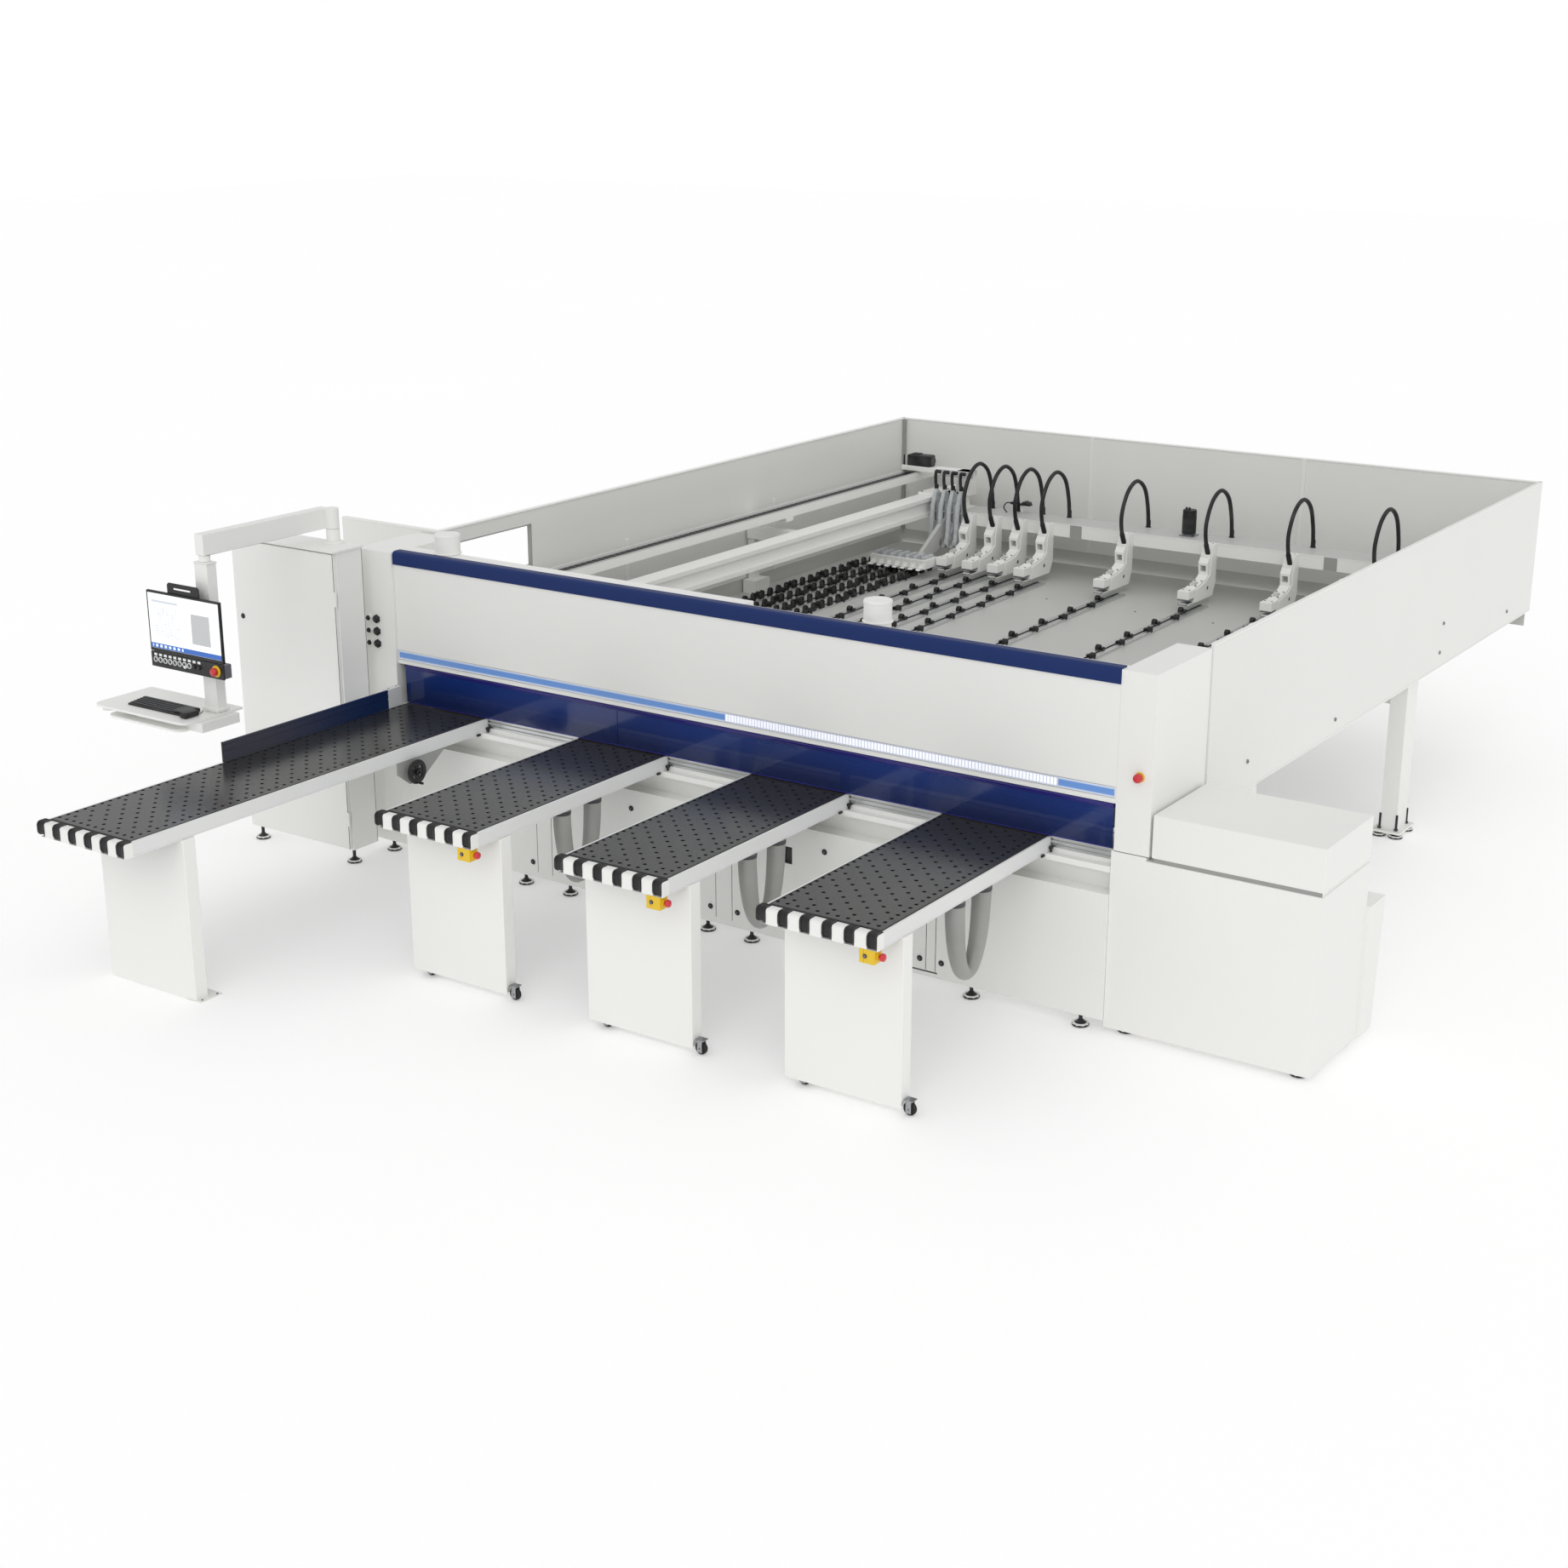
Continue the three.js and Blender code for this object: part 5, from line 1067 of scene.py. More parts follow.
lock_outline = [(0.01, 7), (8, 7), (14, 5.5), (17, 2), (17, -1), (0.01, -1)]
locks = []
seam_xs = (1050, 1164, 2380, 2494, 3782, 3841)
low_spots = [(x + (38 if i % 2 else -38), 170) for i, x in enumerate(seam_xs)]
for x, z in (*low_spots, (1777, 655), (3123, 655)):
    disc = turned_front("lock", x, -60, z, lock_outline, black)
    locks.append(carved(disc, block("key", (x - 1.6, x + 1.6), (-80, -64), (z - 6, z + 6), 0)))
for x in seam_xs:
    locks.append(painted(block("seam", (x - 2, x + 2), (-56.5, -55.8), (112, 766), 0), dark_grey))
locks += [painted(block("seam", (1168, 3780), (-56.5, -55.8), (z - 1.6, z + 1.6), 0), mid_grey)
          for z in (136, 690)]
hatch = block("hatch", (2850, 2906), (-60.4, -47), (540, 636), 1.5)
hatch = painted(carved(hatch, block("hole", (2858, 2898), (-70, -54), (550, 626), 0)), black)
locks.append(hatch)
# A painted shadow: a dark strip low on the base front, just above the floor.
shadow = painted(block("painted floor shadow", (3692, 3854), (-61, -59), (100, 108), 0.4), dark_grey)
locks.append(shadow)
fitted(joined("base_locks", locks), "machine")


# %% Cable glands of the left tower
def gland(x, z, size):
    nut = painted(bar("nut", "y", (x, -66, z), 28 * size, 12, 6, 1.5), black)
    dome = turned_front("dome", x, -72, z, [
        (0.01, 12), (13 * size, 12), (19 * size, 9), (23 * size, 3), (23 * size, 0), (0.01, 0)],
        black)
    stub = painted(bar("stub", "y", (x, -86, z), 9 * size, 8, 16, 2), dark_grey)
    return [nut, dome, stub]


glands = [piece for x, size in ((-246, 0.7), (-183, 1.0)) for z in (1519, 1441, 1363)
          for piece in gland(x, z, size)]
fitted(joined("tower_glands", glands), "machine")


# %% [markdown]
# Along the lower edge of the beam runs a light-blue strip between two bright lines, and part
# of it is lit: a comb of small white lamps that shows where the saw is. The comb is one lamp
# block repeated along the beam.

# %% Beam strip, lamps and seams
lamp_back = coated("lamp back lilac", "D3D6E8", 0.4, 0.03)
strip = [
    painted(rowed(block("lamp", (2444, 2460), (-41.2, -36), (1290, 1330), 1.5), 104, x=20),
            teeth_look),
    painted(block("lamp back", (2440, 4530), (-39.9, -38), (1287, 1334), 0), lamp_back),
    painted(block("line", (-34, 4848), (-42, -38), (1337, 1341), 1), rail_alu),
    painted(block("line", (-34, 4848), (-42, -38), (1280, 1284), 1), rail_alu),
    painted(block("lip", (-38, 4852), (-42.5, -39), (1254.2, 1262), 1.2), soft_white),
]
fitted(joined("beam_strip", strip), "machine")
seams = [
    painted(block("seam", (x - 1.5, x + 1.5), (23, 60), (1944.2, 1944.8), 0.2), mid_grey)
    for x in (700, 1600)
]
duct_outline = [
    (75.2, 0), (84, 0), (84, 6), (77, 10), (77, 100), (79.5, 104), (79.5, 112), (76, 119.5),
    (68, 119.8), (68, 60), (0.01, 60), (0.01, 55), (60, 55), (75.2, 50), (75.2, 0)]
for x in (255, 3330):
    seams.append(painted(turned("duct collar", "z", (x, 130, 1950), duct_outline, 40), white))
seams.append(painted(block("tower seam", (4857, 5048), (-40.7, -39.6), (1002.2, 1005.4), 0),
                     dark_grey))
seams.append(painted(block("lid shadow", (5072, 5961), (-33, -31), (983, 1003.8), 0), mid_grey))
fitted(joined("beam_details", seams), "machine")


# %% [markdown]
# The guard curtain hangs from a round rod under the beam: one long sheet with a clamp strip
# and a weighted hem, cut in a few broad lengths that overlap by a hand's width.

# %% Curtain
def curtain_piece():
    sheet = [painted(block("sheet", xs, ys, (1008, 1240), 0.5, 1), curtain_look)
             for xs, ys in (((3, 1660), (-26.6, -24.6)), ((1600, 3260), (-23.4, -21.4)),
                            ((3200, 4842), (-26.6, -24.6)))]
    # The pale strips on the bed are painted light: light showing through the presser's slots.
    slits = [painted(block("light slit", (x, x + 14), (292, 505), (1000.6, 1001.2), 0), painted_slot_light_look)
             for x in (*range(30, 640, 52), 1070, 1290, 1530, 2190, 2870, 3490, 4160)]
    fitted(joined("painted_slot_lights", slits), "machine")
    rod = painted(bar("rod", "x", (2422.5, -24, 1240), 11, 4840, 28, 1.5), rod_look)
    clamp = painted(block("clamp", (4, 4838), (-29, -19), (1222, 1234), 2), rod_look)
    hem = painted(block("hem", (4, 4840), (-27.5, -20.5), (1008.2, 1014), 1), rod_look)
    return joined("curtain_piece", [*sheet, rod, clamp, hem])


# Painted light: pale blue for the light seen through the slots.
painted_slot_light_look = coated("painted slot light pale blue", "C9DCFA", 0.3, 0.05, 0.03, 0.3)
rod_look = coated("curtain rod violet blue", "211C78", 0.3, 0.05, 0.03, 0.3)
fitted(curtain_piece(), "curtain", "curtain")


# %% [markdown]
# Behind the curtain the pressure beam comes down to hold the boards. It has a row of pads
# along its foot and pairs of slots in its front, which show faintly through the curtain.

# %% Pressure beam
post_xs = (500, 2425, 4350)


def presser():
    body_ = block("presser", (60, 4790), (130, 310), (1072, 1230), 4)
    channel = block("channel", (50, 4800), (203, 237), (1050, 1150), 0)
    slot = rowed(block("slot", (100, 118), (120, 136), (1100, 1200), 0), 40, x=118)
    body_ = painted(carved(body_, channel, slot), light_grey)
    pads = [painted(rowed(block("pad", (64, 178), (y, y + 66), (1060.3, 1073), 2), 40, x=118.2),
                    rubber) for y in (132, 242)]
    posts = [painted(bar("post", "z", (x, 220, 1359), 21.5, 258, 24, 1), post_steel)
             for x in post_xs]
    flanges = [painted(bar("flange", "z", (x, 220, 1235), 44, 12, 24, 1.5), mid_grey)
               for x in post_xs]
    return joined("pressure_beam_piece", [body_, *pads, *posts, *flanges])


fitted(presser(), "pressure_beam", "pressure_beam")


# %% [markdown]
# The saw unit rides inside the base: a main blade, and a small scoring blade in front of it
# that cuts the lower face cleanly. A blade is a toothed outline pushed to its thickness, with
# a bigger bite out of the disc before each tooth and a bolted flange in the middle.

# %% Blades
def on_circle(x, z, reach, angle):
    return x + reach * math.cos(angle), z + reach * math.sin(angle)


def saw_blade(name, x, z, radius, teeth, look):
    outline = []
    for i in range(teeth):
        for share, reach in ((0, radius), (0.26, radius - 1), (0.4, radius - 11),
                             (0.75, radius - 12), (0.96, radius - 5)):
            outline.append(on_circle(x, z, reach, 2 * math.pi * (i + share) / teeth))
    disc = pushed("disc", "y", outline, 218, 222)
    vents = []
    for i in range(5):
        vent_x, vent_z = on_circle(x, z, radius * 0.62, 2 * math.pi * (i + 0.3) / 5)
        vents.append(bar("vent", "y", (vent_x, 220, vent_z), radius * 0.05, 30, 12, 0))
    disc = painted(carved(disc, joined("vents", vents)), look)
    flange = painted(turned("flange", "y", (x, 222, z), [
        (0.01, 14), (12, 14), (14, 11), (28, 11), (32, 8), (32, 0), (0.01, 0)], 32), bolt_steel)
    bolts = []
    for i in range(4):
        bolt_x, bolt_z = on_circle(x, z, 22, math.pi * (i + 0.5) / 2)
        bolts.append(painted(bar("bolt", "y", (bolt_x, 234, bolt_z), 3.5, 4, 6, 0.5), black))
    return joined(name, [disc, flange, *bolts])


fitted(saw_blade("main_blade_piece", 500, 728, 200, 48, ringed("main blade rings", 500, 728)),
       "main_blade", "main_blade")
fitted(saw_blade("scoring_blade_piece", 170, 762, 100, 24,
                 ringed("scoring blade rings", 170, 762)), "scoring_blade", "scoring_blade")


# %% Saw unit details
def saw_details():
    rib = painted(block("rib", (140, 148), (300, 384), (545, 552), 1), light_grey)
    shoes_ = [painted(block("shoe", (x, x + 90), (y - 32, y + 32), (388, 402), 3), bolt_steel)
              for x in (140, 540) for y in (130, 380)]
    return joined("saw_carriage_details", [rib, *shoes_])


fitted(saw_details(), "saw_carriage")
# %% [markdown]
# The right tower and the console carry mushroom stop buttons on yellow rings. The buttons are
# turned like those of the tables, but point forward.

# %% Tower stop
fitted(mushroom("tower_button", "y", (4980, -43, 1415), 24, 38.5, stop_red, -1),
       "tower_stop", "tower_stop")
fitted(painted(turned("tower_stop_ring", "y", (4980, -40, 1415), [
    (10, 0), (27, 0), (27, -3), (24, -7.5), (12, -7.5), (10, 0)], 32), stop_yellow), "machine")


# %% [markdown]
# The fence behind the beam is folded sheet: flat panels between upright posts, with a rolled
# upper edge and bolts on the outside. Posts, edge and bolts are small blocks and turned heads.

# %% Guard posts, edges and bolts
def guard_details():
    pieces = []
    for y in (1130, 2411, 4230):
        pieces.append(block("post", (-164.8, -157), (y - 16, y + 16), (1052, 1596), 1.5))
        pieces.append(block("post", (5030, 5039.8), (y - 16, y + 16), (1052, 1968), 1.5))
    for x in (1560, 3310):
        pieces.append(block("post", (x - 16, x + 16), (6122, 6129.8), (1052, 1968), 1.5))
    pieces += [
        block("edge", xs, ys, (1962, 1974), 4, 3)
        for xs, ys in (((-196, -160), (512, 6150)), ((5036, 5066), (610, 6150)),
                       ((-190, 5060), (6126, 6159)), ((-1010, -192), (505, 538)))
    ]
    pieces.append(block("hem", (5038, 5064), (610, 6150), (1048, 1058), 3, 2))
    pieces = [painted(piece, white) for piece in pieces]
    pieces += [
        painted(block("skirt", xs, ys, (938, 1053), 1), deck_grey)
        for xs, ys in (((-165, -161), (720, 6128)), ((-165, 5038), (6124, 6128)))
    ]
    corner_post = painted(block("corner", (-164.8, -140), (6100, 6129), (1052, 1962), 3), mid_grey)
    bolts = [
        screw(5063, y, z, "x", 12, 7)
        for y, z in ((4247, 1341), (4217, 1153), (2411, 1138), (1129, 1211), (5600, 1150))
    ]
    window = [
        painted(block("window frame", (-194, -161), ys, zs, 2), mid_grey)
        for ys, zs in (((690, 697), (1592, 1875)), ((1388, 1395), (1592, 1875)),
                       ((690, 1395), (1592, 1600)), ((690, 1395), (1867, 1875)))
    ]
    return [*pieces, corner_post, *bolts, *window]


fitted(joined("guard_details", guard_details()), "machine")


# %% [markdown]
# Twelve rails of small black wheels carry the boards behind the saw. A wheel is spun from its
# outline once, set on its axle left and right of the rail, and repeated along the rail with
# an array; the finished rail is then copied to its twelve places.

# %% Roller rail
dense_xs = (80, 260, 440, 620)
wheel_z = 976
rail_xs = [*dense_xs, 895, 1109, 1337, 1559, 2238, 2910, 3467, 4135]


def wheel(x, y):
    tyre = turned("wheel", "x", (x, y, wheel_z), [
        (8, -16), (21, -16), (24, -13), (24, 13), (21, 16), (8, 16), (8, 13), (0.01, 13)], 14)
    back_cap = bar("hub", "x", (x, y, wheel_z), 8.5, 28, 10, 0)
    return joined("wheel", [tyre, back_cap])


def roller_rail(x):
    profile = pushed("rail", "y", [
        (x - 50, 942), (x + 50, 942), (x + 50, 966), (x + 8, 966), (x + 8, 957), (x - 8, 957),
        (x - 8, 966), (x - 50, 966)], 720, 5330, 1.5)
    ends = [block("rail end", (x - 49, x + 49), ys, (943, 967.5), 2)
            for ys in ((716, 722), (5328, 5334))]
    channel = block("channel", (x - 7.6, x + 7.6), (722, 5328), (957.2, 959.5), 0)
    cable = bar("link rod", "y", (x, 3025, 968), 4, 4560, 10, 0)
    right = joined("right set", [
        wheel(x + 34, 855), bar("axle", "x", (x + 12, 855, wheel_z), 6, 40, 10, 0),
        block("fork", (x - 9, x + 11), (838, 872), (958, 984), 3, 1)])
    left = joined("left set", [
        wheel(x - 34, 1075), bar("axle", "x", (x - 12, 1075, wheel_z), 6, 40, 10, 0),
        block("fork", (x - 11, x + 9), (1058, 1092), (958, 984), 3, 1)])
    wheels = [painted(rowed(piece, 10, y=440), black) for piece in (right, left)]
    return joined("roller_rail", [
        painted(profile, side_alu), *[painted(end, light_grey) for end in ends],
        painted(channel, black), painted(cable, black), *wheels])


first_rail = roller_rail(rail_xs[0])
rails = [first_rail] + [copied(first_rail, "roller_rail", x - rail_xs[0]) for x in rail_xs[1:]]

# %% [markdown]
# On the left, where narrow strips are turned round, the rails carry many more wheels. The
# extra ones are plain discs, three to a step with the middle one set back, repeated along
# each of the four rails.

# %% Extra wheels of the left rails
for x in dense_xs:
    trio = joined("trio", [bar("disc", "x", (x + side, 905 + back, wheel_z), 24, 22, 12, 2)
                           for side, back in ((-36, 0), (0, 55), (36, 0))])
    rails.append(painted(rowed(trio, 40, y=110), black))
deck = painted(block("deck", (-160, 4890), (720, 6090), (942, 950), 1), deck_grey)
studs = [screw(x, y, 950.5, radius=9, length=5) for x in (1850, 2575, 3190, 3800, 4500)
         for y in (1500, 3200, 4900)]
fitted(joined("roller_bed_piece", [*rails, deck, *studs]), "machine", "roller_bed")

# %% [markdown]
# The rear frame keeps its CAD solids. On them go the drawn steel guide strips, the plastic
# cable chain in its tray, and the bolts that hold the leg plates to the floor.

# %% Guides, chain and leg bolts
rear = [
    painted(block("guide strip", xs, (710, 6090), zs, 1), post_steel)
    for xs, zs in (((326, 330.3), (1368, 1384)), ((326, 330.3), (1426, 1442)),
                   ((4901, 4905.3), (1200, 1220)))
]
link = joined("link", [block("link", (84, 196), (730, 786), (1559, 1604), 6, 1), *[
    block("link", xs, (720, 764), (1565, 1598), 3, 1) for xs in ((80, 88), (192, 200))]])
rear.append(painted(rowed(link, 88, y=60.7), black))
rear += [painted(block("tray lip", (x, x + 3), (702, 6098), (1614, 1623), 1), light_grey)
         for x in (68.5, 208.5)]
for y in (1300, 3895):
    for x in (-127, -63, 4928, 4992):
        for dy in (-70, 70):
            rear.append(screw(x, y + dy, 46, radius=9, length=7))
fitted(joined("rear_frame_details", rear), "machine")


# %% [markdown]
# The pusher is the machine's most skilful piece: a beam across the roller bed with eight
# gripper arms, each fed by a black hose that arches from the head of the arm over to the top
# of the beam. An arm is a body between two cheek plates: its side outline is pushed to the
# width, its window and its eye are cut out, and the hose follows the arch through points.

# %% Helper for arches
def through(points, steps=6):
    """More points on a smooth curve that passes through the given ones."""
    fine = []
    ends = [points[0], *points, points[-1]]
    for a, b, c, d in zip(ends, ends[1:], ends[2:], ends[3:]):
        for i in range(steps):
            t = i / steps
            fine.append(tuple(
                0.5 * (2 * q + (r - p) * t + (2 * p - 5 * q + 4 * r - s) * t ** 2
                       + (3 * q - p - 3 * r + s) * t ** 3)
                for p, q, r, s in zip(a, b, c, d)))
    return [*fine, points[-1]]


# %% Gripper arm
arm_xs = [829, 1057, 1280, 1511, 2186, 2869, 3508, 4150]
arm_side = [(5070, 1004), (5494, 1004), (5540, 1096), (5540, 1387), (5494, 1387), (5397, 1258),
            (5411, 1166), (5356, 1143), (5180, 1109), (5180, 1013), (5070, 1013)]
arch = [(5452.6, 1313.4), (5406, 1420), (5398, 1557.2), (5474, 1710),
        (5595.2, 1771.6), (5714.8, 1697), (5774.6, 1537), (5793, 1385)]


def gripper_arm(x):
    eye_at = (x, 5402, 1077.6)
    core = pushed("core", "x", arm_side, x - 38, x + 38, 3)
    cheek = [(5200, 1006), (5494, 1004), (5540, 1096), (5540, 1387), (5486, 1387),
             (5440, 1262), (5440, 1176), (5372, 1128), (5200, 1098)]
    cheeks = [pushed("cheek", "x", cheek, start, end, 1.5)
              for start, end in ((x - 46, x - 38.5), (x + 38.5, x + 46))]
    window = block("window", (x - 23, x + 23), (5356, 5448), (1194, 1240), 2)
    bodies = [carved(core, window)]
    for plate_ in cheeks:
        bodies.append(carved(plate_, bar("eye", "x", eye_at, 15, 120, 24, 0)))
    bodies = [painted(piece, white) for piece in bodies]
    eye = painted(bar("eye cup", "x", eye_at, 14.8, 88, 24, 1), dark_grey)
    slots = [painted(block("slot", (x - 20, x + 20), (5444, 5450), (z, z + 5), 1), mid_grey)
             for z in (1198, 1210, 1222, 1233)]
    back = painted(block("window back", (x - 24, x + 24), (5447, 5452), (1192, 1242), 0),
                   light_grey)
    foot_ = painted(block("hose foot", (x - 34, x + 34), (5424, 5480), (1292, 1318), 6, 3), white)
    dots = [screw(x + dx, 5506, 1387.6, radius=6, length=3) for dx in (-24, 24)]
    heads = [screw(x + dx, y, z, radius=7, length=8)
             for dx, y, z in ((-26, 5330, 1139), (26, 5330, 1139), (0, 5296, 1133),
                              (-26, 5230, 1121), (26, 5230, 1121))]
    valve = painted(block("valve", (x - 18, x + 18), (5240, 5290), (1118, 1142), 4), light_grey)
    tongue = painted(block("tongue", (x - 36, x + 36), (5067, 5178), (1004.4, 1013.4), 1),
                     bolt_steel)
    toe = painted(bar("toe", "x", (x, 5074, 1012), 8, 60, 16, 1), light_grey)
    path = through([(x + 14 + (y - 5452) * 0.09, y, z) for y, z in arch])
    loop = painted(hose("loop", path, 15.5, 12), black)
    low_cuff = painted(hose("cuff", path[:6], 18.5, 12), rubber)
    high_cuff = painted(turned("cuff", "z", (x + 45, 5793, 1387), [
        (0.01, 0), (22, 0), (22, 6), (17, 9), (17, 52), (14, 60), (0.01, 60)], 20), rubber)
    return joined("gripper_arm", [
        *bodies, eye, *slots, back, foot_, *dots, *heads, valve, tongue, toe, loop, low_cuff,
        high_cuff])


# %% Pusher beam, carriers and trays
def pusher_bar():
    beam = painted(block("beam", (500, 4890), (5540, 5817), (1287, 1387), 3), white)
    cover = painted(block("cover", (716, 4884), (5548, 5811), (1386.5, 1389), 0.8), light_grey)
    edge = painted(block("edge", (760, 4886), (5538.6, 5541), (1376, 1388), 0.8), soft_white)
    squares = [painted(block("square", (x - 50, x + 50), (5538.4, 5541), (1289, 1386), 0.6),
                       mid_grey) for x in (1745, 3790)]
    tray = painted(pushed("tray", "x", [
        (5816, 1287), (5997, 1287), (5997, 1323), (5989, 1323), (5989, 1295), (5825, 1295),
        (5825, 1323), (5816, 1323)], 500, 4890, 1), light_grey)
    cables = [painted(bar("cable", "x", (2700, y, 1303), 8, 4340, 10, 0), black)
              for y in (5850, 5874, 5960)]
    left = [block("carrier", (330, 650), (5540, 5817), (1480.4, 1500.3), 2),
            block("upright", (500, 650), (5540, 5817), (1386, 1500.3), 3)]
    right = [block("carrier", (4889, 4985), (5540, 5817), (1270.4, 1390), 3)]
    bolts = [screw(x, y, 1502, radius=8, length=6) for x in (350, 470, 600) for y in (5570, 5780)]
    return [beam, cover, edge, *squares, tray, *cables, *bolts,
            *[painted(piece, white) for piece in (*left, *right)]]


# %% Drive head with its motor
compact_xs = (525, 600, 675, 750)


def drive_head():
    plate_ = painted(block("head plate", (70, 710), (5707, 5817), (1630, 1670), 4), white)
    post = painted(block("head post", (580, 710), (5707, 5817), (1480, 1670), 4), white)
    shell = painted(block("motor", (122, 330), (5714, 5810), (1663, 1760), 14, 4), black)
    flange = painted(block("flange", (100, 122), (5714, 5810), (1664, 1757), 4), rail_alu)
    nose_ = painted(block("gear", (79, 101), (5720, 5804), (1668, 1752), 5), black)
    tail = painted(bar("tail", "x", (332, 5762, 1712), 38, 12, 28, 3), dark_grey)
    box_ = painted(block("junction", (150, 220), (5736, 5790), (1748, 1768), 5), black)
    hoses = []
    for x in compact_xs:
        path = through([(x, 5500, 1555), (x - 8, 5500, 1600), (x - 12, 5502, 1650),
                        (x - 10, 5506, 1692)], 4)
        hoses.append(painted(hose("short hose", path, 13, 12), black))
        hoses.append(painted(bar("sleeve", "z", (x, 5500, 1572), 17, 34, 16, 2), black))
        hoses.append(painted(bar("elbow", "x", (x + 8, 5508, 1690), 15, 44, 16, 4), black))
    bracket = painted(block("hose bracket", (500, 790), (5592, 5612), (1640, 1690), 3), light_grey)
    stays = painted(block("stay", (640, 665), (5600, 5716), (1640, 1660), 3), light_grey)
    return [plate_, post, shell, flange, nose_, tail, box_, *hoses, bracket, stays]


# %% Compact grippers and comb
def compact_gripper(x):
    outline = [(5410, 1120), (5449, 1120), (5541, 1287), (5541, 1526), (5488, 1560),
               (5436, 1430)]
    wall = pushed("compact", "x", outline, x - 16, x + 16, 3)
    hollow = pushed("hollow", "x", [(5436, 1180), (5450, 1190), (5520, 1310), (5520, 1500),
                                    (5492, 1528), (5456, 1420)], x - 20, x + 20)
    ribs = [bar("rib", "x", (x, y, z), 7, 31, 12, 1)
            for y, z in ((5470, 1300), (5488, 1380), (5500, 1460), (5450, 1220))]
    rod = bar("rod", "z", (x, 5490, 1400), 6, 220, 12, 1)
    jaw = block("jaw", (x - 17, x + 17), (5404, 5436), (1116, 1176), 4, 2)
    tip = painted(block("tip", (x - 12, x + 12), (5404, 5420), (1110, 1140), 3), bolt_steel)
    clear = [painted(piece, smoke) for piece in (carved(wall, hollow), *ribs, jaw)]
    return [*clear, painted(rod, bolt_steel), tip]


def comb():
    body_ = block("comb", (270, 770), (4930, 5120), (1030, 1102), 4)
    pocket = block("pocket", (289, 751), (4949, 5101), (1049, 1120), 3)
    slots = rowed(block("slot", (288, 293), (4920, 4936), (1046, 1096), 1), 34, x=13.6)
    body_ = painted(carved(body_, pocket, slots), white)
    scoops = []
    for i in range(7):
        x = 270 + 500 / 14 + 500 / 7 * i
        scoop = pushed("scoop", "x", [(4872, 1030), (4932, 1030), (4932, 1072), (4925, 1072),
                                      (4916, 1048), (4884, 1040)], x - 19, x + 19, 3)
        scoops.append(painted(scoop, white))
        scoops.append(painted(bar("scoop pin", "x", (x, 4894, 1041), 5, 40, 12, 0.5), light_grey))
        vane = block("vane", (x - 15, x + 15), (4952, 5096), (1060, 1126), 6, 2)
        scoops.append(painted(vane, smoke))
    strut = pushed("strut", "x", [(5119, 1030), (5436, 1102), (5540, 1287), (5540, 1359),
                                  (5119, 1102)], 583, 617, 3)
    return [body_, *scoops, painted(strut, light_grey)]


# %% Can motor and cable bracket
def can_motor():
    can = painted(turned("can", "z", (2618, 5678.5, 1387), [
        (0.01, 18), (50, 18), (53, 22), (53, 158), (51, 162), (52, 164), (52, 190), (49, 198),
        (0.01, 198)], 36), black)
    base = painted(block("can base", (2562, 2676), (5622, 5736), (1387, 1396), 3), bolt_steel)
    ring = painted(bar("can ring", "z", (2618, 5678.5, 1400), 40, 14, 28, 1), bolt_steel)
    plugs = [painted(bar("plug", "z", (x, 5672, 1590), 9, 26, 16, 3), dark_grey)
             for x in (2592, 2616)]
    flag = painted(bar("bracket post", "z", (1150, 5770, 1415), 9, 60, 16, 1), white)
    arm_ = painted(block("bracket", (1070, 1230), (5745, 5795), (1446, 1458), 3), black)
    lumps = [painted(block("coupler", xs, ys, (1456, 1476), 4), black)
             for xs, ys in (((1080, 1120), (5700, 5790)), ((1160, 1190), (5740, 5815)),
                            ((1205, 1225), (5720, 5790)))]
    tail = painted(hose("bracket cable", through([
        (1100, 5705, 1466), (1060, 5680, 1470), (1040, 5672, 1430), (1060, 5690, 1392)], 4), 5, 8),
        black)
    return [can, base, ring, *plugs, flag, arm_, *lumps, tail]


# %% Join the pusher
first_arm = gripper_arm(arm_xs[0])
arms = [first_arm] + [copied(first_arm, "gripper_arm", x - arm_xs[0]) for x in arm_xs[1:]]
compact = [piece for x in compact_xs for piece in compact_gripper(x)]
whole = joined("pusher_piece", [
    *pusher_bar(), *arms, *drive_head(), *compact, *comb(), *can_motor()])
fitted(whole, "pusher_beam", "pusher_beam")
for i, x in enumerate(arm_xs):
    jaw_body = painted(block("jaw", (x - 45.9, x + 45.9), (5072, 5179), (1046, 1109), 4), white)
    pad = painted(block("jaw pad", (x - 40, x + 40), (5070.2, 5177), (1037.2, 1047), 1),
                  bolt_steel)
    bolts = [screw(x + dx, 5125, 1108.5, radius=7, length=6) for dx in (-26, 26)]
    grip = joined(f"gripper_{i + 1}_jaw", [jaw_body, pad, *bolts])
    fitted(grip, f"gripper_jaw_{i + 1}", f"gripper_jaw_{i + 1}")
print("pusher:", len(whole.data.polygons), "faces")

# %% [markdown]
# The cabinet is plain apart from its round lock, the gaps round its door and a strip of painted
# shade along its back edge. The console hangs from the swinging arm on a square column, with a
# monitor, a row of buttons, and a keyboard on a rounded tray.

